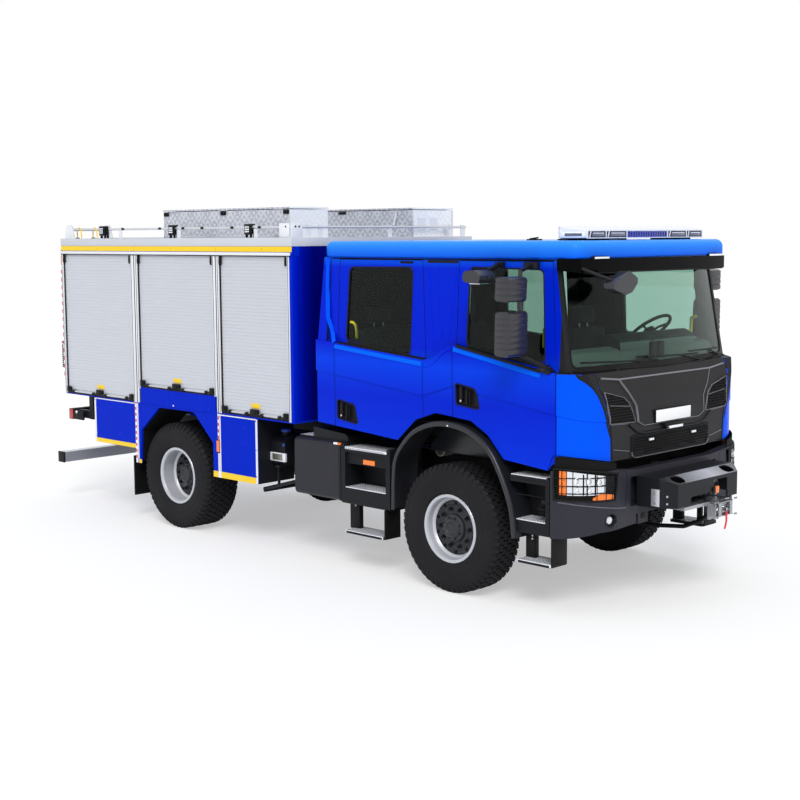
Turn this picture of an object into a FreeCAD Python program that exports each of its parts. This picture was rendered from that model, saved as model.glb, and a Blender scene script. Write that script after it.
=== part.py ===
"""Crew-cab four-wheel-drive emergency service truck, as an assembly of separate pieces.

Millimetres. While a piece is drawn, x is measured forwards from the front axle, y to the left and
z up from the ground. save() then moves it into the part's own frame, whose origin is on the ground
under the middle of the truck's length. The right-hand side is drawn and mirrored to the left.
"""
import FreeCAD, Part
import math
import os

V = FreeCAD.Vector

# ---- driving dimensions --------------------------------------------------------------------------
WHEELBASE = 3950.0
REAR_AXLE_X = -WHEELBASE
TYRE_R = 562.0
RIM_FLANGE_R = 298.0
BARREL_R = 264.0
FRONT_WHEEL_Y = 1109.0          # middle of the front tyre
REAR_WHEEL_Y = 1027.0           # middle of the wide rear tyre
FRONT_TYRE_HALF = 159.0
REAR_TYRE_HALF = 212.0
KINGPIN_Y = 1000.0
STEER_ARM = 200.0               # kingpin to tie rod pin

FRONT_END_X = 1861.0            # winch hook
REAR_END_X = -6322.0            # underrun beam
FRAME_SHIFT = -(FRONT_END_X + REAR_END_X) / 2

CAB_HALF = 1215.0               # cab side below the window line
CAB_REAR_X = -1730.0
CAB_WALL = 60.0
DOOR_GAP = 3.0                  # each side of a door's edge
ROOF_Z = 2888.0                 # underside of the cab roof

BODY_HALF = 1275.0
BODY_X = (-5967.0, -1985.0)
BODY_Z = (1297.0, 3066.0)
SHUTTER_TOP_Z = 2894.0
BAYS = [                        # x from, x to, sill height
    (-5933.0, -4605.0, 1308.0),
    (-4491.0, -3192.0, 1475.0),
    (-3092.0, -2050.0, 1313.0),
]

RAIL_Y = (340.0, 420.0)         # chassis rails
RAIL_Z = (800.0, 1060.0)


# ---- drawing helpers -----------------------------------------------------------------------------
def box(x, y, z):
    """A block from three (low, high) pairs."""
    return Part.makeBox(x[1] - x[0], y[1] - y[0], z[1] - z[0], V(x[0], y[0], z[0]))


def rod(start, end, radius):
    """A round bar between two points."""
    a = V(*start)
    b = V(*end)
    return Part.makeCylinder(radius, (b - a).Length, a, b - a)


def outline(corners, radius=0.0):
    """A closed wire through corners, each rounded by one radius or by its own."""
    radii = radius if isinstance(radius, (list, tuple)) else [radius] * len(corners)
    arcs = []
    for i, corner in enumerate(corners):
        back = (corners[i - 1] - corner).normalize()
        ahead = (corners[(i + 1) % len(corners)] - corner).normalize()
        half = back.getAngle(ahead) / 2
        if radii[i] <= 0 or half > math.radians(89.5):
            arcs.append((corner, None, corner))
            continue
        cut = radii[i] / math.tan(half)
        middle = (back + ahead).normalize() * (radii[i] / math.sin(half) - radii[i])
        arcs.append((corner + back * cut, corner + middle, corner + ahead * cut))
    edges = []
    for i, (start, middle, end) in enumerate(arcs):
        previous = arcs[i - 1][2]
        if (start - previous).Length > 1e-6:
            edges.append(Part.LineSegment(previous, start).toShape())
        if middle is not None:
            edges.append(Part.Arc(start, middle, end).toShape())
    return Part.Wire(edges)


def side_prism(points, y, radius=0.0):
    """An (x, z) outline carried across from y[0] to y[1]."""
    wire = outline([V(px, y[0], pz) for px, pz in points], radius)
    return Part.Face(wire).extrude(V(0, y[1] - y[0], 0))


def plan_prism(points, z, radius=0.0):
    """An (x, y) outline carried up from z[0] to z[1]."""
    wire = outline([V(px, py, z[0]) for px, py in points], radius)
    return Part.Face(wire).extrude(V(0, 0, z[1] - z[0]))


def front_prism(points, x, radius=0.0):
    """A (y, z) outline carried forwards from x[0] to x[1]."""
    wire = outline([V(x[0], py, pz) for py, pz in points], radius)
    return Part.Face(wire).extrude(V(x[1] - x[0], 0, 0))


def rectangle(a, b):
    """The four corners of a rectangle from two (low, high) pairs."""
    return [(a[0], b[0]), (a[1], b[0]), (a[1], b[1]), (a[0], b[1])]


def turned(profile, x, z, radius=0.0):
    """An (y, r) outline spun round an axis along Y through (x, z)."""
    wire = outline([V(x, y, z + r) for y, r in profile], radius)
    return Part.Face(wire).revolve(V(x, 0, z), V(0, 1, 0), 360)


def fuse(shapes):
    """One solid from several that overlap."""
    return shapes[0].multiFuse(shapes[1:]).removeSplitter()


def mirrored(shape):
    """The same piece on the other side of the truck."""
    return shape.mirror(V(0, 0, 0), V(0, 1, 0))


def trimmed(shape, other):
    """The largest part of a piece that lies outside another one."""
    return max(shape.cut(other).Solids, key=lambda s: s.Volume)


def both(shape):
    """The piece and its mirror image, as separate solids."""
    return Part.makeCompound([shape, mirrored(shape)])


def grown(points, amount):
    """A convex or nearly convex polygon's corners, moved out (or in, if negative) by amount."""
    area = 0.0
    for i, (ax, az) in enumerate(points):
        bx, bz = points[(i + 1) % len(points)]
        area += ax * bz - bx * az
    turn = 1.0 if area > 0 else -1.0
    result = []
    for i, (px, pz) in enumerate(points):
        ax, az = points[i - 1]
        bx, bz = points[(i + 1) % len(points)]
        first = V(pz - az, ax - px, 0).normalize() * turn
        second = V(bz - pz, px - bx, 0).normalize() * turn
        middle = first + second
        middle = middle * (2 * amount / middle.Length ** 2)
        result.append((px + middle.x, pz + middle.y))
    return result


def save(name, shape):
    """Write one piece as its own STEP file, in the part's frame."""
    shape = shape.copy()
    shape.translate(V(FRAME_SHIFT, 0, 0))
    if not shape.isValid():
        print("INVALID", name)
    low = shape.optimalBoundingBox()
    print(
        f"{name:20s} {len(shape.Solids):2d} solids  x {low.XMin:8.1f} {low.XMax:8.1f}"
        f"  y {low.YMin:8.1f} {low.YMax:8.1f}  z {low.ZMin:7.1f} {low.ZMax:7.1f}"
    )
    shape.exportStep(os.path.join("parts", name + ".step"))


# ---- chassis -------------------------------------------------------------------------------------
RAIL_X = (-5930.0, 1360.0)
REAR_TOW_X = -5975.0            # upright pin holes for towing
REAR_TOW_R = 20.5
FRONT_TOW = (1412.0, -450.0)
FRONT_TOW_R = 16.5
RAIL_SHEET = 9.0
CROSSMEMBER_X = [1240.0, -1480.0, -2050.0, -3050.0, -4850.0, -5850.0]
SPRING_Y = (386.0, 474.0)
SPRING_HALF = 750.0
SPRING_END_Z = 770.0
SPRING_SEAT_Z = 640.0
SPRING_THICK = 60.0
AXLE_R = 76.0


def chassis_frame():
    """Two channel rails open inwards, their crossmembers, spring hangers and the side guard bar."""
    rail = box(RAIL_X, RAIL_Y, RAIL_Z)
    web_y = RAIL_Y[1] - RAIL_SHEET
    rail = rail.cut(
        box(
            (RAIL_X[0] - 1, RAIL_X[1] + 1),
            (RAIL_Y[0] - 1, web_y),
            (RAIL_Z[0] + RAIL_SHEET, RAIL_Z[1] - RAIL_SHEET),
        )
    )
    hangers = []
    for axle_x in (0.0, REAR_AXLE_X):
        for end in (-1, 1):
            eye_x = axle_x + end * (SPRING_HALF + 32)
            hangers.append(box((eye_x - 30, eye_x + 30), (390, 470), (SPRING_END_Z - 30, RAIL_Z[0] + 90)))
    side = fuse([rail] + hangers)
    members = [box((x - 40, x + 40), (-web_y - 4, web_y + 4), (850, 1000)) for x in CROSSMEMBER_X]
    guard_low = (-2615.0, -1130.0, 575.0)
    guard_high = (-2120.0, -1130.0, 712.0)
    outrigger = box((-2420, -2360), (-1150, -RAIL_Y[0] - 20), (815, 838))
    drop = box((-2400, -2380), (-1140, -1120), (630, 838))
    guard = fuse([rod(guard_low, guard_high, 17), drop, outrigger])
    coupling = box((-6020, -5880), (-95, 95), (850, 960))
    frame = fuse([side, mirrored(side)] + members + [guard, mirrored(guard), coupling])
    return frame.cut(rod((REAR_TOW_X, 0, 840), (REAR_TOW_X, 0, 970), REAR_TOW_R))


def drivetrain():
    """Engine as one plain block, with the gearbox, the transfer case and the shafts to both axles."""
    engine = box((-650, 520), (-330, 330), (780, 1205))
    gearbox = box((-1000, -648), (-210, 210), (800, 1150))
    exhaust = rod((-420, -320, 1130), (-420, -915, 1188), 55)
    case = box((-2000, -1560), (-190, 190), (560, 845))
    gearbox_shaft = rod((-1000, 0, 950), (-1562, 0, 740), 48)
    front_shaft = rod((-1562, 0, 640), (-190, 0, 621), 42)
    rear_shaft = rod((-1998, 0, 660), (REAR_AXLE_X + 242, 0, 600), 52)
    return fuse([engine, gearbox, exhaust, gearbox_shaft, case, front_shaft, rear_shaft])


def leaf_springs():
    """Four curved leaf packs, one each side of each axle."""
    packs = []
    for axle_x in (0.0, REAR_AXLE_X):
        ends = (axle_x - SPRING_HALF, axle_x + SPRING_HALF)
        y = SPRING_Y[0]
        tip = 22.0
        low = Part.Arc(
            V(ends[0], y, SPRING_END_Z), V(axle_x, y, SPRING_SEAT_Z), V(ends[1], y, SPRING_END_Z)
        ).toShape()
        high = Part.Arc(
            V(ends[1], y, SPRING_END_Z + tip),
            V(axle_x, y, SPRING_SEAT_Z + SPRING_THICK),
            V(ends[0], y, SPRING_END_Z + tip),
        ).toShape()
        front = Part.LineSegment(V(ends[1], y, SPRING_END_Z), V(ends[1], y, SPRING_END_Z + tip)).toShape()
        back = Part.LineSegment(V(ends[0], y, SPRING_END_Z + tip), V(ends[0], y, SPRING_END_Z)).toShape()
        pack = Part.Face(Part.Wire([low, front, high, back])).extrude(V(0, SPRING_Y[1] - y, 0))
        packs += [pack, mirrored(pack)]
    return Part.makeCompound(packs)


EAR_Z = (95.0, 140.0)           # kingpin ears above and below the axle


def front_axle():
    """Driven steering axle: housing, tubes, spring seats and the forks that hold the knuckles."""
    housing = Part.makeSphere(172, V(30, 0, TYRE_R))
    nose = rod((-60, 0, TYRE_R + 30), (-175, 0, TYRE_R + 58), 70)
    halves = []
    for side in (-1, 1):
        halves.append(rod((0, 0, TYRE_R), (0, side * 890, TYRE_R), AXLE_R))
        seat = sorted((side * SPRING_Y[0], side * SPRING_Y[1]))
        halves.append(box((-90, 90), seat, (TYRE_R, SPRING_SEAT_Z)))
        web = sorted((side * 872, side * 905))
        halves.append(box((-42, 42), web, (TYRE_R - EAR_Z[1], TYRE_R + EAR_Z[1])))
        for sign in (-1, 1):
            ear = sorted((TYRE_R + sign * EAR_Z[0], TYRE_R + sign * EAR_Z[1]))
            arm = sorted((side * 880, side * KINGPIN_Y))
            halves.append(box((-42, 42), arm, ear))
            halves.append(rod((0, side * KINGPIN_Y, ear[0]), (0, side * KINGPIN_Y, ear[1]), 42))
    return fuse([housing, nose] + halves)


def rear_axle():
    """Driven rear axle: housing, tubes, spring seats, spindles and brake plates."""
    x = REAR_AXLE_X
    ball = Part.makeSphere(205, V(x, 0, TYRE_R))
    pinion = rod((x + 60, 0, TYRE_R + 10), (x + 235, 0, TYRE_R + 38), 80)
    pieces = [ball, pinion]
    for side in (-1, 1):
        pieces.append(rod((x, 0, TYRE_R), (x, side * 908, TYRE_R), AXLE_R))
        pieces.append(rod((x, side * 896, TYRE_R), (x, side * 914, TYRE_R), 190))
        pieces.append(rod((x, side * 900, TYRE_R), (x, side * 1004, TYRE_R), 48))
        seat = sorted((side * SPRING_Y[0], side * SPRING_Y[1]))
        pieces.append(box((x - 90, x + 90), seat, (TYRE_R, SPRING_SEAT_Z)))
    return fuse(pieces)


def knuckle():
    """Right steering knuckle: kingpin boss, spindle, brake plate and the arm back to the tie rod."""
    boss = rod((0, -KINGPIN_Y, TYRE_R - 88), (0, -KINGPIN_Y, TYRE_R + 88), 46)
    spindle = rod((0, -KINGPIN_Y, TYRE_R), (0, -1122, TYRE_R), 47)
    plate = rod((0, -1048, TYRE_R), (0, -1060, TYRE_R), 188)
    arm = box((-STEER_ARM, 0), (-KINGPIN_Y - 20, -KINGPIN_Y + 20), (506, 532))
    eye = rod((-STEER_ARM, -KINGPIN_Y, 506), (-STEER_ARM, -KINGPIN_Y, 532), 26)
    return fuse([boss, spindle, plate, arm, eye])


def tie_rod():
    """Bar that joins the two knuckle arms, just under their eyes."""
    bar = rod((-STEER_ARM, -KINGPIN_Y, 480), (-STEER_ARM, KINGPIN_Y, 480), 18)
    ends = []
    for side in (-1, 1):
        ends.append(rod((-STEER_ARM, side * KINGPIN_Y, 460), (-STEER_ARM, side * KINGPIN_Y, 500), 24))
    return fuse([bar] + ends)


# ---- wheels --------------------------------------------------------------------------------------
def tyre(x, y, half):
    """A tyre from bead to tread, with round shoulders and bulging sidewalls."""
    bead = half * 0.74
    profile = [
        (y - bead, 290), (y - half, 350), (y - half, 470), (y - half + 10, 545), (y - half + 34, TYRE_R),
        (y + half - 34, TYRE_R), (y + half - 10, 545), (y + half, 470), (y + half, 350), (y + bead, 290),
    ]
    radii = [4, 90, 120, 30, 18, 18, 30, 120, 90, 4]
    return turned(profile, x, TYRE_R, radii)


def rim(x, y, half, disc, drum, side):
    """A steel rim with its disc, hub and brake drum. disc and drum are offsets outwards from y."""
    face = disc + 14
    profile = [
        (-half, 288), (-half, 276), (-half + 22, BARREL_R), (disc - 40, BARREL_R), (disc, BARREL_R - 42),
        (disc, 205), (drum, 205), (drum, 54), (disc - 20, 54), (disc - 20, 0),
        (face + 74, 0), (face + 74, 60), (face + 60, 96), (face + 30, 118), (face, 118),
        (face, BARREL_R - 42),
        (face + 24, BARREL_R), (half - 22, BARREL_R), (half, 276), (half, RIM_FLANGE_R),
        (half - 10, RIM_FLANGE_R), (half - 16, 289), (16 - half, 289), (10 - half, RIM_FLANGE_R),
        (-half, RIM_FLANGE_R),
    ]
    return turned([(side * (y + s), r) for s, r in profile], x, TYRE_R)


# ---- tanks, steps and fenders ----------------------------------------------------------------------
def side_tanks():
    """Fuel tank on the right and battery box on the left, both with well rounded edges."""
    section = rectangle((-1222, -650), (615, 1170))
    tank = front_prism(section, (-2045, -1405), 55)
    saddle = box((-1800, -1650), (-652, -424), (880, 1000))
    cover = side_prism(
        [(-1846, 1168), (-1375, 1168), (-1375, 1215), (-1410, 1244), (-1846, 1276)],
        (-1150, -760),
    )
    strap = front_prism(grown(section, 5), (-1442, -1420), 60)
    return both(fuse([tank, saddle, cover, strap]))


def additive_tank():
    """Small black tank behind the fuel tank, with a sloping top and a blue filler cap."""
    section = [(-1112, 843), (-1112, 1062), (-1040, 1122), (-760, 1122), (-760, 843)]
    tank = front_prism(section, (-2532, -2316), 20)
    cap = rod((-2440, -985, 1110), (-2440, -985, 1180), 42)
    bracket = box((-2500, -2400), (-765, -424), (900, 1000))
    return fuse([tank, cap, bracket])


FENDER_OUTER = [
    (-706, 640), (-706, 700), (-680, 1080), (-545, 1290), (-366, 1420), (-100, 1488),
    (215, 1450), (480, 1280), (684, 901), (742, 589),
]
FENDER_THICK = 42.0


def toward_hub(point, amount):
    """A side-view point, moved towards the front hub."""
    away = V(point[0], point[1] - TYRE_R, 0)
    reach = (away.Length - amount) / away.Length
    return (away.x * reach, TYRE_R + away.y * reach)


def front_fender_arch(y, outer_grow=0.0):
    """The right front fender between two y limits."""
    outside = [toward_hub(p, -outer_grow) for p in FENDER_OUTER]
    inside = [toward_hub(p, FENDER_THICK) for p in reversed(FENDER_OUTER)]
    count = len(FENDER_OUTER)
    radii = ([0] + [150] * (count - 2) + [0]) * 2
    radii[1] = 40
    radii[2 * count - 2] = 40
    return side_prism(outside + inside, y, radii)


def front_fender_block():
    """Everything inside the front fender, to clear the pieces beside it."""
    points = [toward_hub(p, -8) for p in FENDER_OUTER]
    return side_prism([(-714, 100)] + points + [(800, 100)], (-1400, -700))


def front_fenders():
    """Black arch fenders with a deep outer lip."""
    arch = front_fender_arch((-1262, -930))
    inner_panel = side_prism(
        [(-520, 1165), (-490, 1240), (-340, 1370), (-90, 1440), (200, 1405), (430, 1250), (460, 1165)],
        (-942, -930),
        20,
    )
    arm = box((-60, 60), (-935, -430), (1168, 1200))
    drop = box((-60, 60), (-445, -421), (1000, 1200))
    return both(fuse([arch, inner_panel, arm, drop]))


def rear_step_unit():
    """Housing behind the fuel tank's front end, with two recessed steps and a hanging step."""
    x = (-1390.0, -748.0)
    housing = front_prism(rectangle((-1225, -800), (605, 1135)), x, 30)
    upper = box((x[0] + 55, x[1] - 55), (-1300, -985), (760, 985))
    lamp_panel = box((x[0] + 55, x[1] - 55), (-1300, -1195), (985, 1095))
    head_cheek = box((x[0], x[0] + 45), (-1222, -805), (1130, 1166))
    front_cheek = box((x[1] - 45, x[1]), (-1222, -805), (1130, 1166))
    carrier = box((-1150, -1000), (-805, -421), (880, 1000))
    step = plan_prism(rectangle((-1334, -832), (-1235, -1010)), (333, 354), 30)
    legs = [box((lx, lx + 44), (-1110, -1065), (345, 640)) for lx in (-1334, -876)]
    body = fuse([housing.cut(upper).cut(lamp_panel), head_cheek, front_cheek, carrier, step] + legs)
    return body


def front_step_unit():
    """Step housing between the front wheel and the bumper, with its own hanging step."""
    x = (655.0, 1068.0)
    housing = box(x, (-1222, -900), (640, 1115))
    upper = box((x[0] - 10, x[1] - 40), (-1300, -1010), (745, 1060))
    carrier = box((760, 900), (-905, -421), (895, 1000))
    step = plan_prism(rectangle((734, 1100), (-1235, -1010)), (388, 409), 30)
    legs = [box((lx, lx + 40), (-1110, -1065), (400, 660)) for lx in (790, 1000)]
    body = fuse([housing.cut(upper).cut(front_fender_block()), carrier, step] + legs)
    return body


def cab_steps():
    """All four step units."""
    return Part.makeCompound([both(rear_step_unit()), both(front_step_unit())])


# ---- cab -----------------------------------------------------------------------------------------
CAB_PROFILE = [                 # side view below the windows
    (CAB_REAR_X, 1342), (-665, 1268), (572, 1226), (1043, 1184), (1085, 1240), (1400, 1250), (1416, 1500),
    (1378, 1790), (1318, 1975), (960, 1985), (20, 2152), (-70, 2138), (-250, 2020), (-356, 2005),
    (-1478, 2098), (CAB_REAR_X, 2118),
]
CREASE = [                      # the body side stands 8 mm prouder above this line
    (CAB_REAR_X - 10, 1830), (-1440, 1800), (-350, 1690), (0, 1800), (1115, 1640), (1500, 1560),
]
CREASE_STEP = 8.0
ARCH = [
    (-720, 1100), (-665, 1268), (-440, 1470), (-200, 1551),
    (206, 1517), (400, 1410), (572, 1226), (610, 1100),
]
GLASSHOUSE_LOW_Z = 1900.0


def cab_plan(inset, half=CAB_HALF):
    """Plan of the cab below the windows as a face: square back, strongly rounded front corners."""
    z = 1000.0
    h = half - inset
    corner = (1405 - inset, 835 - inset * 0.3)
    left = [V(CAB_REAR_X + inset, -h, z), V(985, -h, z), V(1285 - inset * 0.7, -1115 + inset * 0.7, z)]
    nose = V(corner[0], -corner[1], z)
    middle = V(1418 - inset, 0, z)
    across = V(corner[0], corner[1], z)
    right = [V(1285 - inset * 0.7, 1115 - inset * 0.7, z), V(985, h, z), V(CAB_REAR_X + inset, h, z)]
    edges = [
        Part.LineSegment(left[0], left[1]).toShape(),
        Part.Arc(left[1], left[2], nose).toShape(),
        Part.Arc(nose, middle, across).toShape(),
        Part.Arc(across, right[0], right[1]).toShape(),
        Part.LineSegment(right[1], right[2]).toShape(),
        Part.LineSegment(right[2], left[0]).toShape(),
    ]
    return Part.Face(Part.Wire(edges))


def cab_lower(inset):
    """The cab below the windows, drawn in by inset all round."""
    profile = side_prism(grown(CAB_PROFILE, -inset), (-CAB_HALF - 5, CAB_HALF + 5))
    full = profile.common(cab_plan(inset).extrude(V(0, 0, 1400)))
    if inset > 0:
        return full
    below = CREASE + [(1500, 900), (CAB_REAR_X - 10, 900)]
    band = side_prism(below, (-CAB_HALF - 20, CAB_HALF + 20))
    slim = profile.common(cab_plan(CREASE_STEP).extrude(V(0, 0, 1400)))
    return full.cut(band).fuse(slim.common(band)).removeSplitter()


def glasshouse(inset, top=ROOF_Z - 2):
    """The window part of the cab: sides leaning in, raked and bowed windscreen."""
    z_full = 2886.0
    sections = []
    for z in (GLASSHOUSE_LOW_Z, top):
        t = (z - GLASSHOUSE_LOW_Z) / (z_full - GLASSHOUSE_LOW_Z)
        rear = CAB_REAR_X + 40 * t + inset
        back_y = 1176 - 56 * t - inset
        front_x = 1201 - 164 * t - inset * 0.7
        front_y = 1164 - 52 * t - inset
        bow = 1345 - 130 * t - inset
        corners = [V(rear, -back_y, z), V(front_x, -front_y, z), V(front_x, front_y, z), V(rear, back_y, z)]
        sections.append(
            Part.Wire([
                Part.LineSegment(corners[0], corners[1]).toShape(),
                Part.Arc(corners[1], V(bow, 0, z), corners[2]).toShape(),
                Part.LineSegment(corners[2], corners[3]).toShape(),
                Part.LineSegment(corners[3], corners[0]).toShape(),
            ])
        )
    return Part.makeLoft(sections, True, True)


def cab_skin():
    """Walls and floor of the cab as one shell, with the wheel wells let in."""
    outer = cab_lower(0).fuse(glasshouse(0))
    cavity = cab_lower(CAB_WALL).fuse(glasshouse(CAB_WALL - 8, ROOF_Z + 60))
    skin = outer.cut(cavity)
    well_side = side_prism(ARCH, (-1400, -760))
    cover = side_prism(grown(ARCH, 14), (-1400, -746)).common(outer)
    wells = [well_side, mirrored(well_side)]
    skin = skin.multiFuse([cover, mirrored(cover)])
    return skin.cut(Part.makeCompound(wells))


FRONT_DOOR = [
    (0, 1100), (1043, 1100), (1043, 1184), (1082, 1294), (1112, 1322),
    (1112, 1985), (1066, 2110), (1010, 2868), (0, 2868),
]
REAR_DOOR = [(-1480, 1100), (-352, 1100), (-352, 2000), (-430, 2868), (-1480, 2868)]
FRONT_WINDOW = [(118, 2150), (960, 2040), (908, 2795), (128, 2806)]
REAR_WINDOW = [(-1365, 2128), (-552, 2030), (-552, 2798), (-1345, 2790)]
FRONT_HANDLE = [(45, 1650), (300, 1625), (255, 1790), (40, 1822)]
REAR_HANDLE = [(-1442, 1400), (-1180, 1368), (-1225, 1535), (-1445, 1568)]
DOOR_DEPTH = [(-1153, 1050), (-1153, 2010), (-1045, 2060), (-1045, 2900), (-1400, 2900), (-1400, 1050)]
FLAP = [                        # the black front panel, seen from the front
    (-835, 1160), (-848, 1450), (-890, 1690), (-955, 1850), (-955, 2100),
    (955, 2100), (955, 1850), (890, 1690), (848, 1450), (835, 1160),
]
SCREEN = [(-1098, 2020), (1098, 2020), (1062, 2862), (-1062, 2862)]


def door_zone(points, amount):
    """The space a right-hand door fills, from its outline moved by amount."""
    limit = front_prism(DOOR_DEPTH, (-2000, 1500))
    return side_prism(grown(points, amount), (-1400, -1000)).common(limit)


def door(skin, points, window, handle):
    """One right-hand door cut from the cab's wall, with its window and its handle pocket."""
    panel = skin.common(door_zone(points, -DOOR_GAP))
    opening = side_prism(window, (-1400, -1000), 45)
    pocket = side_prism(handle, (-1400, -CAB_HALF + 34), 18)
    panel = panel.cut(opening).cut(pocket)
    return max(panel.Solids, key=lambda s: s.Volume)


def pane(window, inset, thick):
    """Glass that fills a door's window opening."""
    layer = glasshouse(inset).cut(glasshouse(inset + thick))
    return layer.common(side_prism(window, (-1400, -1000), 45))


def windscreen():
    """Bowed windscreen, edge to edge in its opening."""
    layer = glasshouse(5).cut(glasshouse(13))
    return layer.common(front_prism(SCREEN, (1000, 1500), 60))


FLAP_X = 1275.0                 # rear edge of the flap and its return


def front_region(grow):
    """The space in front of the bulkhead that the black flap fills, moved out by grow."""
    face = front_prism(grown(FLAP, grow), (FLAP_X, 1500))
    return face.common(box((FLAP_X, 1500), (-1200, 1200), (1100, 1976 + grow)))


CORNER_X = 1118.0               # rear edge of the corner panels


def corner_zone():
    """The space of the right front corner panel, between the door and the flap."""
    whole = box((CORNER_X, 1500), (-1300, -700), (1100, 1974))
    return whole.cut(box((CORNER_X - 1, FLAP_X), (-1060, -600), (1000, 2000)))


def corner_panels(skin):
    """Painted panels round the front corners of the cab."""
    panel = skin.common(corner_zone()).cut(front_region(DOOR_GAP))
    lamp_space = [(-1300, 1334), (-826, 1250), (-826, 1000), (-1300, 1000)]
    panel = panel.cut(front_prism(lamp_space, (CORNER_X - 1, 1500)))
    return both(max(panel.Solids, key=lambda s: s.Volume))


def grille_panel():
    """Black front flap, hinged along its top edge."""
    panel = cab_lower(0).cut(cab_lower(48)).common(front_region(-DOOR_GAP))
    return max(panel.Solids, key=lambda s: s.Volume)


def rear_quarter():
    """Outer skin of a rear corner: flush with the body below, leaning in above the belt."""
    sections = []
    for z, rear, outer, inner in ((1880, CAB_REAR_X, CAB_HALF, 1150), (2884, CAB_REAR_X + 40, 1126, 1080)):
        corners = [(rear, -outer), (-1604, -outer), (-1604, -inner), (rear, -inner)]
        sections.append(Part.makePolygon([V(x, y, z) for x, y in corners + corners[:1]]))
    return Part.makeLoft(sections, True, True)


def cab_shell(skin, corners):
    """Floor, rear wall, pillars and bulkhead, open at the doors and the windscreen."""
    shell = skin.fuse(both(rear_quarter()))
    for points in (FRONT_DOOR, REAR_DOOR):
        zone = door_zone(points, DOOR_GAP)
        shell = shell.cut(zone).cut(mirrored(zone))
    shell = shell.cut(front_prism(SCREEN, (1000, 1500), 60))
    nose = box((1272, 1500), (-1200, 1200), (1100, 1976))
    shell = shell.cut(corners).cut(nose)
    bulkhead = box((1215, 1268), (-1100, 1100), (1290, 1976)).common(cab_lower(0))
    shell = fuse([shell, bulkhead.cut(corners)])
    return max(shell.Solids, key=lambda s: s.Volume)


def cab_roof():
    """Roof cap with rounded edges, carried forward over the windscreen, hollow inside."""
    plan = [(-1700, -1150), (900, -1150), (1235, -1085), (1272, -700), (1285, 0),
            (1272, 700), (1235, 1085), (900, 1150), (-1700, 1150)]
    radii = [110, 60, 110, 0, 0, 0, 110, 60, 110]
    cap = plan_prism(plan, (ROOF_Z, 3034), radii)
    top = [e for e in cap.Edges if e.BoundBox.ZMin > 3033]
    cap = cap.makeFillet(68, top)
    hollow = box((-1640, 990), (-1050, 1050), (ROOF_Z - 1, 2975))
    return cap.cut(hollow)


def sun_visor():
    """Dark visor band under the front edge of the roof, following its curve."""
    outer = [(1064, -1138), (1240, -1060), (1285, -700), (1300, 0), (1285, 700), (1240, 1060), (1064, 1138)]
    inner = [(x - 12, y * 0.988) for x, y in reversed(outer)]
    band = plan_prism(outer + inner, (2770, ROOF_Z - 1))
    sweep = front_prism(
        [(-1150, 2888), (-1150, 2800), (-900, 2745), (-500, 2772),
         (500, 2772), (900, 2745), (1150, 2800), (1150, 2888)],
        (1000, 1400),
        30,
    )
    return band.common(sweep)


def mirrors_right():
    """Two-part main mirror on its arms, and the kerb mirror over the side window."""
    upper = side_prism([(752, 2560), (900, 2548), (912, 2745), (770, 2752)], (-1540, -1320), 30)
    lower = side_prism([(752, 2118), (905, 2112), (912, 2478), (760, 2470)], (-1540, -1315), 34)
    spine = rod((850, -1335, 2110), (850, -1335, 2800), 17)
    upper_arm = rod((850, -1335, 2795), (810, -1140, 2838), 17)
    upper_pad = plan_prism(rectangle((735, 880), (-1178, -1105)), (2812, 2862), 30)
    lower_arm = rod((850, -1335, 2125), (1010, -1200, 2020), 20)
    lower_foot = side_prism(
        [(940, 1993), (1060, 1966), (1078, 1992), (1000, 2040), (950, 2040)],
        (-1235, -1150),
        8,
    )
    main = [upper, lower, spine, upper_arm, upper_pad, lower_arm, lower_foot]
    return fuse(main)


def kerb_mirror():
    """Wide-angle mirror that looks down at the kerb."""
    body = side_prism([(340, 2700), (520, 2690), (545, 2745), (480, 2800), (360, 2790)], (-1470, -1270), 35)
    arm = rod((470, -1300, 2790), (470, -1150, 2838), 20)
    pad = box((430, 510), (-1160, -1105), (2815, 2858))
    return fuse([body, arm, pad])


def front_mirror(clear):
    """Mirror in front of the windscreen on the kerb side, cut back to the pieces it stands on."""
    shell = [
        (-965, 2650), (-800, 2602), (-720, 2622), (-648, 2690),
        (-645, 2732), (-760, 2792), (-965, 2694),
    ]
    body = front_prism(shell, (1400, 1500), 18)
    arm = rod((1440, -905, 2715), (1225, -1040, 2815), 15)
    return trimmed(fuse([body, arm]), clear)


BAR_FRONT_X = 1140.0
BAR_Z = (3052.0, 3150.0)
BAR_FRONT_TOP = 3112.0


def light_bar():
    """Warning light bar with swept ends and a sloping top, on two feet."""
    plan = [
        (790, -770), (950, -960), (BAR_FRONT_X, -848), (BAR_FRONT_X, 848), (950, 960), (790, 770),
    ]
    bar = plan_prism(plan, BAR_Z, 14)
    slope = [(BAR_FRONT_X + 5, BAR_FRONT_TOP), (930, 3151), (BAR_FRONT_X + 5, 3151)]
    bar = bar.cut(side_prism(slope, (-1000, 1000), 0))
    feet = [box((830, 1110), (y - 90, y + 90), (3034.2, 3056)) for y in (-600, 600)]
    return fuse([bar] + feet)


def steering_wheel():
    """Rim, three spokes and hub, square to the leaning column."""
    centre = V(*WHEEL_CENTRE)
    axis = V(*COLUMN_AXIS).normalize()
    rim_ring = Part.makeTorus(222, 15)
    hub = Part.makeCylinder(58, 50, V(0, 0, -35))
    spokes = []
    for angle in (20, 160, 270):
        spoke = Part.makeBox(180, 30, 16, V(40, -15, -12))
        spoke.rotate(V(0, 0, 0), V(0, 0, 1), angle)
        spokes.append(spoke)
    wheel = fuse([rim_ring, hub] + spokes)
    turn = FreeCAD.Rotation(V(0, 0, 1), axis)
    wheel.Placement = FreeCAD.Placement(centre, turn)
    return wheel


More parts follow.
